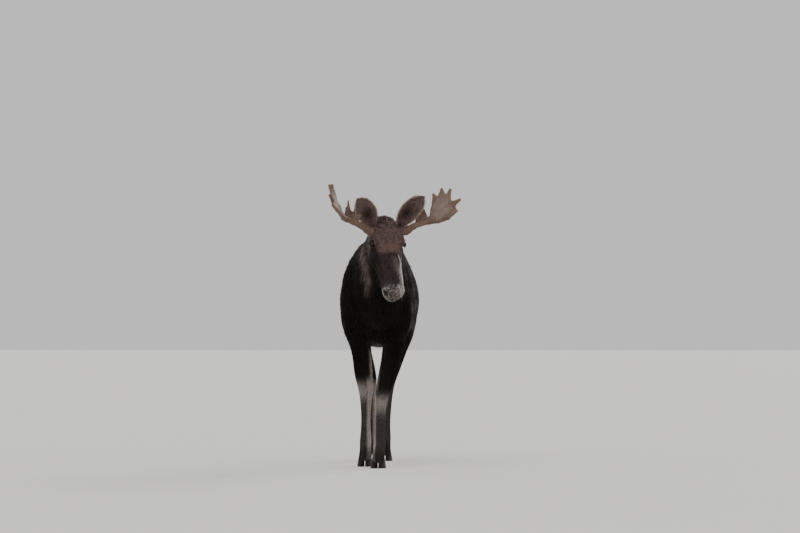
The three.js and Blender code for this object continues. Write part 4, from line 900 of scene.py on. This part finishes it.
def long_per_mm2(p, out):
    """How many long locks grow on a square millimetre: on crest and hump, chest and throat, and the bell."""
    crest = smooth(out[:, 2], 0.45, 0.75) * smooth(p[:, 1], -60, -220) * smooth(p[:, 2], 1500, 1600)
    throat = smooth(-out[:, 1], 0.3, 0.6) * smooth(p[:, 1], -480, -620) * smooth(p[:, 2], 1120, 1220)
    bell = smooth(bell_field(p), 26, 8)
    head, leg, _ = shares(p, parts(p))
    grown = np.maximum(np.maximum(crest, 0.7 * throat) / 300, bell / 50)
    return grown * (1 - smooth(head - bell, 0.2, 0.5)) * (1 - leg)


root, out, _ = sample(skin_points, skin_faces, long_per_mm2)
fields = parts(root)
bell = smooth(bell_field(root), 26, 8)
count = len(root)
length = (100 - 8 * smooth(-out[:, 1], 0.3, 0.6)) * rng.uniform(0.7, 1.25, count)
room = np.maximum(root[:, 2] - 1372, 20)  # the bell's locks end where the bell does
length = np.where(bell > 0.3, np.minimum(length, room * rng.uniform(0.75, 1.05, count)), length)
rise = length * rng.uniform(0.1, 0.22, count) * (1 - 0.6 * bell)
colour = markings(root, fields) * rng.uniform(0.6, 1.7, count)[:, None]
width = rng.uniform(6, 10, count)
bend = rng.normal(0, 0.12, count)
mesh = tuft_mesh(root, out, lie_of(root, fields, out), length, width, rise, bend, colour,
                 unwrap_round(root, *TRUNK_WRAP), LONG, height_over_skin)
coat_piece("coat_mane_and_bell", mesh, hair)


# ---------------------------------------------------------------- ears
# Each ear is a stiff cup of gristle under short fur. It is pale at the rim and has painted shade in the
# hollow, and longer hair stands in the cup and out from the rim.

FORWARD_AXIS = np.array([math.sin(HEAD_YAW), -math.cos(HEAD_YAW), 0])
ANTLER_ROOT = from_head([98, 0, 76])  # the brow's middle
EAR_WIDTH = 150
EAR_STEPS = 15  # points across the back of an ear, and as many across its hollow
# Root, bend and tip, each to the side of the brow's middle, ahead of it and above it.
EARS = {
    "left": [[74, -62, -24], [132, -10, 122], [270, 52, 256]],
    "right": [[82, -62, -24], [130, -10, 116], [249, 50, 236]],
}
# Share of the ear's length, half width, depth of the cup and thickness of the wall.
EAR_ROWS = [
    [0, 0.3, 22, 44], [0.16, 0.32, 24, 46], [0.27, 0.52, 34, 30], [0.4, 0.82, 42, 16], [0.55, 1, 40, 10],
    [0.7, 0.98, 32, 8], [0.83, 0.82, 22, 7], [0.93, 0.54, 12, 6], [1, 0.14, 4, 5],
]


def from_brow(q, side):
    """Points given to the side of the brow's middle, ahead of it and above it, in the body's frame."""
    q = np.asarray(q, float)
    return (ANTLER_ROOT + side * q[..., :1] * LEFT_AXIS + q[..., 1:2] * FORWARD_AXIS
            + q[..., 2:3] * np.array([0, 0, 1.0]))


def grid_faces(rows, columns):
    """Quads over a grid of rows by columns whose columns close into rings."""
    i, j = np.meshgrid(np.arange(rows - 1), np.arange(columns), indexing="ij")
    a, b = i * columns + j, i * columns + (j + 1) % columns
    return np.stack([a, b, b + columns, a + columns], -1).reshape(-1, 4)


def ear_shape(name, side):
    """An ear's rings along a bent axis: each is half an ellipse and another in front of it by the wall. Gives
    the way to the front and the axis's way for each ring too."""
    start, middle, tip = from_brow(np.array(EARS[name], float), side)
    rows = spline(EAR_ROWS, 4)
    rows[:, 1] = np.maximum(rows[:, 1], 0.05)
    share = rows[:, :1]

    def along(t):
        return start * (1 - t) ** 2 + middle * 2 * t * (1 - t) + tip * t * t

    heading = unit(along(share + 0.02) - along(share - 0.02))
    facing = unit(FORWARD_AXIS + LEFT_AXIS * side * 0.25)
    across = unit(np.cross(heading, facing))
    front = np.cross(across, heading)
    half = rows[:, 1] * EAR_WIDTH / 2
    angle = np.radians(np.linspace(-90, 90, EAR_STEPS))
    wall = rows[:, 3:] * (0.3 + 0.7 * np.cos(angle))
    centre = along(share)[:, None]
    outer = (centre + across[:, None] * (np.sin(angle) * half[:, None])[..., None]
             - front[:, None] * (rows[:, 2:3] * np.cos(angle))[..., None])
    inner = (centre + across[:, None] * (np.sin(angle) * half[:, None] * 0.94)[..., None]
             + front[:, None] * (wall - rows[:, 2:3] * np.cos(angle))[..., None])
    return np.concatenate([outer, inner[:, ::-1]], 1), front, heading


def ear_fur_per_mm2(p, out):
    """One tuft on every 16 square millimetres."""
    return np.full(len(p), 1 / 16)


# the ear's back, a darker colour for mottles and for the painted shade in the hollow, and the pale rim
EAR_BACK, EAR_MOTTLE_AND_HOLLOW_SHADE, EAR_RIM = "#907a72", "#382a28", "#c9ae90"
for name, side in (("left", 1), ("right", -1)):
    rings, front, heading = ear_shape(name, side)
    rows, columns = rings.shape[:2]
    points = np.concatenate([rings.reshape(-1, 3), np.repeat(rings[-1].mean(0)[None], columns, 0)])
    quads = grid_faces(rows + 1, columns)
    if side > 0:
        quads = quads[:, ::-1]
    share = np.append(np.repeat(spline(EAR_ROWS, 4)[:, 0], columns), np.ones(columns))
    inner = np.concatenate([np.zeros(EAR_STEPS), np.sin(np.linspace(0, np.pi, EAR_STEPS))])
    edge = np.abs(np.concatenate([np.linspace(-1, 1, EAR_STEPS), np.linspace(1, -1, EAR_STEPS)]))
    inner, edge = np.tile(inner, rows + 1), np.tile(edge, rows + 1)
    hollow_shade = peak(share, 0.5, 0.2) * inner ** 3 + 0.8 * inner * smooth(share, 0.32, 0.18)
    colour = plain(EAR_BACK, len(share))
    colour = paint(colour, EAR_MOTTLE_AND_HOLLOW_SHADE, 0.4 * smooth(blotches(points, 43), 0, 0.7))
    # painted shade, darkest in the cup's deep middle and on the inside near the ear's root
    colour = paint(colour, EAR_MOTTLE_AND_HOLLOW_SHADE, 0.1 * inner + 0.85 * hollow_shade)
    colour = paint(colour, EAR_RIM, 0.85 * smooth(edge, 0.84, 1) * smooth(share, 0.2, 0.4))
    cup = new_object(f"ear_{name}_cup", place(points), quads, hide)
    set_colour(cup, 0.8 * colour)
    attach(cup, "root")
    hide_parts(f"ear_{name}")

    # the fur follows the ear to its tip, leans into the cup inside it and outwards at the rim
    root, out, at = sample(points, quads, ear_fur_per_mm2)
    base, fur_colour = at(np.stack([share, edge, inner], 1)), at(colour)
    grown = base[:, 0] > 0.12
    root, out, base, fur_colour = root[grown], out[grown], base[grown], fur_colour[grown]
    up, across, inside = base.T
    row = np.clip((up * (rows - 1)).astype(int), 0, rows - 1)
    outward = unit(root - rings.mean(1)[row])
    rim = smooth(across, 0.8, 0.97)
    lie = heading[row] + (0.9 * outward - 0.2 * heading[row]) * rim[:, None]
    lie = lie - 0.5 * outward * (inside * (1 - rim))[:, None]
    lie = unit(lie - (lie * out).sum(1)[:, None] * out)
    count = len(root)
    length = (9 + 8 * inside + 8 * rim) * rng.uniform(0.7, 1.3, count)
    width = np.clip(0.2 * length, 1.8, 3.2)
    rise = length * rng.uniform(0.12, 0.3, count)
    bend = rng.normal(0, 0.15, count)
    fur_colour = fur_colour * rng.uniform(0.6, 1.5, (count, 1))
    unwrap = np.clip(np.stack([0.5 + 0.24 * across + 0.25 * (inside > 0), up], 1), 0, 1)
    mesh = tuft_mesh(root, out, lie, length, width, rise, bend, fur_colour, unwrap, SHORT)
    coat_piece(f"coat_ear_{name}", mesh, hair)


# ---------------------------------------------------------------- antlers
# Hard bone, clean of its velvet: a short beam that opens into a dished palm with a fringe of points, and a
# small brow palm over the eye. It is grey-brown, ridged along the growth, and darker at burr and edge.

# Places to the side of the brow's middle, ahead of it and above it, as the ears'. The beam's with its radius.
BURR = 146
BEAM = [
    [128, 0, -8, 28], [158, 0, 6, 29], [212, 0, 40, 23], [264, 6, 64, 22], [325, 36, 82, 21],
    [374, 130, 86, 16], [420, 236, 108, 12], [470, 256, 160, 9],
]
# Round the palm's margin; a row that ends in 1 is the tip of a point.
PALM = [
    [325, 36, 82, 0], [374, 130, 82, 0], [421, 248, 108, 0], [480, 268, 168, 1], [482, 240, 176, 0],
    [478, 216, 208, 0], [508, 262, 252, 1], [470, 192, 236, 0], [462, 160, 246, 0], [474, 128, 330, 1],
    [450, 85, 284, 0], [433, 40, 336, 1], [412, 8, 272, 0], [394, -54, 296, 1], [384, -36, 236, 0],
    [362, -8, 178, 0], [344, 14, 118, 0],
]
PALM_MIDDLE = [424, 98, 188]
RIDGE = [[350, 30, 92], [402, 84, 190]]
# The brow palm's corners, its two points (foot, tip, radius at the foot) and the right antler's extra plate.
BROW_PALM = [[230, -8, 50], [334, 18, 86], [306, -30, 168], [250, -28, 128]]
BROW_TINES = [[[292, -18, 130], [292, -38, 226], 18], [[254, -16, 90], [246, -34, 160], 15]]
RIGHT_BROW_PALM = [[236, 12, 58], [300, 6, 110], [220, 42, 118]]
PALM_THICKNESS = 15
SPREAD = {"left": 0.95, "right": 1.05}  # how far each antler is stretched sideways from the burr
DROOP = {"left": 0.06, "right": 0.0}  # and how far it sinks on the way


def web(p, a, b, c, thickness):
    """A flat plate spanned by three corners: distance to the triangle less half the thickness."""
    corners = [np.asarray(k, float) for k in (a, b, c)]
    normal = unit(np.cross(corners[1] - corners[0], corners[2] - corners[0]))
    inside = np.ones(len(p), bool)
    nearest = np.full(len(p), np.inf)
    for start, end in zip(corners, corners[1:] + corners[:1]):
        along = end - start
        inside &= (p - start) @ np.cross(along, normal) <= 0
        h = np.clip((p - start) @ along / (along @ along), 0, 1)
        nearest = np.minimum(nearest, np.linalg.norm(p - start - h[:, None] * along, axis=1))
    return np.where(inside, np.abs((p - corners[0]) @ normal), nearest) - thickness / 2


def antler_field(p, name):
    """Beam, palm, points and brow palm run together over small fillets, in places from the brow."""
    f = np.full(len(p), 1e4)
    for a, b in zip(BEAM[:-1], BEAM[1:]):
        f = blend(f, taper(p, a[:3], b[:3], a[3], b[3]), 10)
    for a, b in zip(PALM, PALM[1:] + PALM[:1]):
        f = blend(f, web(p, a[:3], b[:3], PALM_MIDDLE, PALM_THICKNESS), 12)
    f = blend(f, web(p, *(BROW_PALM[k] for k in (0, 1, 2)), PALM_THICKNESS), 12)
    f = blend(f, web(p, *(BROW_PALM[k] for k in (0, 2, 3)), PALM_THICKNESS), 12)
    for i, tip in enumerate(PALM):
        if tip[3]:
            base = (np.array(PALM[i - 1][:3]) + np.array(PALM[(i + 1) % len(PALM)][:3])) / 2
            f = blend(f, taper(p, base, tip[:3], 12, 4), 12)
    for start, end, radius in BROW_TINES:
        f = blend(f, taper(p, start, end, radius, 4), 12)
    f = blend(f, taper(p, *RIDGE, 12, 7), 12)
    if name == "right":
        f = blend(f, web(p, *RIGHT_BROW_PALM, PALM_THICKNESS), 12)
    # shallow gutters run out from the palm's root, as the blood vessels left them
    off = p - np.array(PALM[0][:3], float)
    turn = np.arctan2(off[:, 2], off[:, 1] + 0.6 * off[:, 0])
    reach = np.linalg.norm(off, axis=1)
    gutters = np.sin(26 * turn + 0.012 * reach) * smooth(reach, 30, 90)
    round_beam = np.arctan2(p[:, 2] - 0.35 * p[:, 0] + 40, p[:, 1] + 2)
    ridges = np.sin(7 * round_beam + 0.03 * p[:, 0]) * smooth(reach, 90, 30)
    # the burr is a crown of pearls round the beam's foot
    pearls = np.sin(9 * np.arctan2(p[:, 2] + 3, p[:, 1])) * peak(p[:, 0], BURR + 9, 7)
    swell = 4 * peak(p[:, 0], BURR + 9, 8)
    return f - 0.5 * gutters - 0.6 * ridges - 2.2 * pearls - swell


# Weathered bone: dry, with a faint grain of about 14 mm and duller and glossier clouds of about 70 mm.
bone, tree, output = new_material("weathered antler bone")
coordinates = node(tree, "ShaderNodeTexCoord")
grain = node(tree, "ShaderNodeTexNoise",
             {"Scale": 70.0, "Detail": 5.0, "Roughness": 0.65},
             {"Vector": (coordinates, "Object")})
cloud = node(tree, "ShaderNodeTexNoise", {"Scale": 14.0, "Detail": 3.0}, {"Vector": (coordinates, "Object")})
mark = node(tree, "ShaderNodeAttribute", {"attribute_name": "marking"})
shade = node(tree, "ShaderNodeMapRange", {"From Min": 0.3, "From Max": 0.7, "To Min": 0.72, "To Max": 1.22},
             {"Value": (grain, 0)})
mottle = node(tree, "ShaderNodeMapRange", {"From Min": 0.3, "From Max": 0.7, "To Min": 0.8, "To Max": 1.15},
              {"Value": (cloud, 0)})
both = node(tree, "ShaderNodeMath", {"operation": "MULTIPLY"}, {0: (shade, 0), 1: (mottle, 0)})
tint = node(tree, "ShaderNodeVectorMath", {"operation": "SCALE"}, {0: (mark, "Color"), "Scale": (both, 0)})
bump = node(tree, "ShaderNodeBump", {"Strength": 0.3, "Distance": 0.0015}, {"Height": (grain, 0)})
gloss = node(tree, "ShaderNodeMapRange", {"From Min": 0.3, "From Max": 0.7, "To Min": 0.6, "To Max": 0.8},
             {"Value": (cloud, 0)})
shader = node(tree, "ShaderNodeBsdfPrincipled", {"Specular IOR Level": 0.2},
              {"Base Color": (tint, 0), "Normal": (bump, 0), "Roughness": (gloss, 0)})
tree.links.new(shader.outputs[0], output.inputs[0])

ANTLER_BONE, BURR_BROWN, EDGE_BROWN, POINT_BROWN = "#877569", "#5f4c44", "#674f43", "#7c6049"
point_tips = np.array([row[:3] for row in PALM if row[3]] + [tip for _, tip, _ in BROW_TINES], float)
for name, side in (("left", 1), ("right", -1)):
    grown, antler_faces = wrap(lambda p: antler_field(p, name), np.arange(116, 562, 4.0),
                               np.arange(-92, 332, 4.0), np.arange(-62, 374, 4.0), reach=60.0)
    tip_share = peak(np.linalg.norm(grown[:, None] - point_tips, axis=2).min(1), 0, 30)
    thin_edge = smooth(np.linalg.norm(grown - PALM_MIDDLE, axis=1), 70, 150)
    q = grown.copy()
    past = q[:, 0] - BURR
    q[:, 0] = BURR + past * SPREAD[name]
    q[:, 2] -= past * DROOP[name]
    faces = antler_faces if side < 0 else antler_faces[:, ::-1]
    antler = new_object(f"antler_{name}", place(from_brow(q, side)), faces, bone)
    colour = plain(ANTLER_BONE, len(q))
    colour = paint(colour, BURR_BROWN, 0.75 * smooth(grown[:, 0], 260, 160))
    colour = paint(colour, EDGE_BROWN, 0.7 * thin_edge)
    colour = paint(colour, POINT_BROWN, 0.7 * tip_share)
    set_colour(antler, colour)
    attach(antler, "root")
    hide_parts(f"antler_{name}_palm", f"antler_{name}_brow")


# ---------------------------------------------------------------- eyes
# Large, dark and wet: a clear dome over a brown iris with a level, oblong pupil, set back under the lids.

def revolve(profile, count):
    """Points of a profile of [radius, height] rows turned about the z axis, and quads between its rings."""
    profile = np.asarray(profile, float)
    turn = np.linspace(0, 2 * np.pi, count, endpoint=False)
    r, h = profile[:, :1], profile[:, 1:]
    points = np.stack([r * np.cos(turn), r * np.sin(turn), h + 0 * turn], -1).reshape(-1, 3)
    return points, grid_faces(len(profile), count)


# The tear film over the eye is as smooth as glass, so lamps and sky show in it as sharp lights.
wet_eye, tree, output = new_material("wet brown eye")
mark = node(tree, "ShaderNodeAttribute", {"attribute_name": "marking"})
shader = node(tree, "ShaderNodeBsdfPrincipled",
              {"Roughness": 0.05, "IOR": 1.38, "Specular IOR Level": 0.4},
              {"Base Color": (mark, "Color")})
tree.links.new(shader.outputs[0], output.inputs[0])

EYE_BROWN_BLACK, IRIS_BROWN, PUPIL_BLACK = "#0d0908", "#2b170d", "#020202"
for name, side in (("left", 1), ("right", -1)):
    polar = np.linspace(0.002, np.pi - 0.002, 40)
    reach = EYE_RADIUS * (1 + 0.07 * peak(polar, 0, 0.5))
    ball, faces = revolve(np.stack([reach * np.sin(polar), reach * np.cos(polar)], 1), 48)
    # the ball looks outwards and a little forwards
    gaze = unit(0.88 * side * LEFT_AXIS + 0.15 * FACE_AXIS + 0.42 * CROWN_AXIS)
    level = unit(np.cross(np.array([0, 0, 1.0]), gaze))
    upward = np.cross(gaze, level)
    radius, turn = np.linalg.norm(ball[:, :2], axis=1), np.arctan2(ball[:, 1], ball[:, 0])
    iris = smooth(radius, 13.5, 12) * (ball[:, 2] > 0)
    pupil = smooth(np.hypot(ball[:, 0] / 8, ball[:, 1] / 3.6), 1.1, 0.9) * (ball[:, 2] > 0)
    colour = plain(EYE_BROWN_BLACK, len(ball))
    colour = paint(colour, IRIS_BROWN, iris * (0.75 + 0.25 * np.sin(40 * turn)))
    colour = paint(colour, PUPIL_BLACK, pupil)
    centre = from_head([EYE[0], side * EYE[1], EYE[2]])
    points = centre + ball[:, :1] * level + ball[:, 1:2] * upward + ball[:, 2:] * gaze
    eye = new_object(f"eyeball_{name}", place(points), faces[:, ::-1], wet_eye)
    set_colour(eye, colour)
    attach(eye, "root")
    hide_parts(f"eye_{name}")


# ---------------------------------------------------------------- hooves and dewclaws
# Cloven hooves of dark horn with growth rings, which grow on from the coronet. Two small dewclaws stand
# behind each fetlock.

CORONET = 62  # the height at which the hair ends
HOOF_LENGTH = 140
HOOF_WIDTH = 57  # of one claw at its sole
HALF_GAP = 3.5  # from the middle between the claws to each of them
# Dull horn: growth rings about 4 mm apart that change both its tone and its height.
horn, tree, output = new_material("dark hoof horn")
coordinates = node(tree, "ShaderNodeTexCoord")
stretch = node(tree, "ShaderNodeMapping", {"Scale": (1, 1, 5)}, {"Vector": (coordinates, "Object")})
rings_noise = node(tree, "ShaderNodeTexNoise", {"Scale": 45.0, "Detail": 4.0}, {"Vector": (stretch, 0)})
tone = node(tree, "ShaderNodeMix",
            {"data_type": "RGBA", 6: linear("#151210"), 7: linear("#352d28")},
            {0: (rings_noise, 0)})
bump = node(tree, "ShaderNodeBump", {"Strength": 0.6, "Distance": 0.002}, {"Height": (rings_noise, 0)})
shader = node(tree, "ShaderNodeBsdfPrincipled", {"Roughness": 0.7, "Specular IOR Level": 0.12},
              {"Base Color": (tone, 2), "Normal": (bump, 0)})
tree.links.new(shader.outputs[0], output.inputs[0])


def capped(rings):
    """Points and triangles of a closed skin round rings of points, each end closed by a fan to its middle."""
    rows, columns = rings.shape[:2]
    points = np.concatenate([rings.reshape(-1, 3), rings[0].mean(0)[None], rings[-1].mean(0)[None]])
    quads = grid_faces(rows, columns)
    faces = np.concatenate([quads[:, [0, 1, 2]], quads[:, [0, 2, 3]]])
    j, k = np.arange(columns), (np.arange(columns) + 1) % columns
    low, high = np.full(columns, len(points) - 2), np.full(columns, len(points) - 1)
    last = (rows - 1) * columns
    faces = np.concatenate([faces, np.stack([k, j, low], 1), np.stack([last + j, last + k, high], 1)])
    a, b, c = (points[faces[:, n]] for n in range(3))
    volume = (a * np.cross(b, c)).sum()
    return points, faces if volume > 0 else faces[:, ::-1]


def claw(coronet, side, heading):
    """One claw: level rings of a rounded D, widest behind the middle, that lean back from toe to coronet."""
    share = np.array([0, 0.02, 0.06, 0.15, 0.3, 0.5, 0.7, 0.86, 0.95, 1.0])
    inset_by = np.array([0.9, 0.97, 1, 1, 1, 0.985, 0.975, 0.97, 1.0, 0.93])
    turn = heading - side * math.radians(5)
    angle = np.linspace(0, 2 * np.pi, 40, endpoint=False)
    ahead = np.cos(angle)
    out = np.sin(angle) * np.sqrt(1 - 0.32 * np.maximum(0, ahead) ** 1.5)
    toe = ((0.62 - 0.36 * share) * HOOF_LENGTH)[:, None]
    heel = ((0.38 - 0.04 * share) * HOOF_LENGTH)[:, None]
    width = ((1 - 0.16 * share) * HOOF_WIDTH)[:, None]
    x = side * HALF_GAP + side * width / 2 + out * width / 2 * inset_by[:, None]
    y = np.where(ahead > 0, ahead * toe, ahead * heel) * inset_by[:, None]
    return np.stack([coronet[0] + x * math.cos(turn) + y * math.sin(turn),
                     coronet[1] - y * math.cos(turn) + x * math.sin(turn),
                     np.broadcast_to((share * CORONET)[:, None], x.shape)], -1)


def cone(start, tip, radii):
    """A blunt cone of round rings from start to tip, each given as its share of the way and its radius."""
    start, tip = np.asarray(start, float), np.asarray(tip, float)
    axis = unit(tip - start)
    side = unit(np.cross(axis, [0, 1, 0.2]))
    rise = np.cross(side, axis)
    angle = np.linspace(0, 2 * np.pi, 20, endpoint=False)[:, None]
    shares_along = np.array([row[0] for row in radii])[:, None, None]
    around = np.array([row[1] for row in radii])[:, None, None]
    return start + (tip - start) * shares_along + around * (np.cos(angle) * side + np.sin(angle) * rise)


SPUR = [(0, 16), (0.5, 16), (0.75, 14), (0.9, 10), (0.97, 6), (1, 2)]
for leg_name, rows in LEGS.items():
    fetlock, above_toes, toes = rows[10:13]
    heading = math.atan2(toes[0] - above_toes[0], -(toes[1] - above_toes[1]))
    inner = -1 if toes[0] > 0 else 1
    for where, side in (("inner", inner), ("outer", -inner)):
        points, faces = capped(claw(toes[:3], side, heading))
        hoof = new_object(f"{leg_name}_{where}_claw", place(points), faces, horn)
        start = [fetlock[0] + side * 18, fetlock[1] + 14, fetlock[2] - 30]
        tip = [fetlock[0] + side * 30, fetlock[1] + 52, fetlock[2] - 92]
        points, faces = capped(cone(start, tip, SPUR))
        spur = new_object(f"{leg_name}_{where}_spur", place(points), faces, horn)
        for piece, node_name in ((hoof, f"{leg_name}_{where}_hoof"), (spur, f"{leg_name}_{where}_dewclaw")):
            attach(piece, "root")
            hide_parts(node_name)
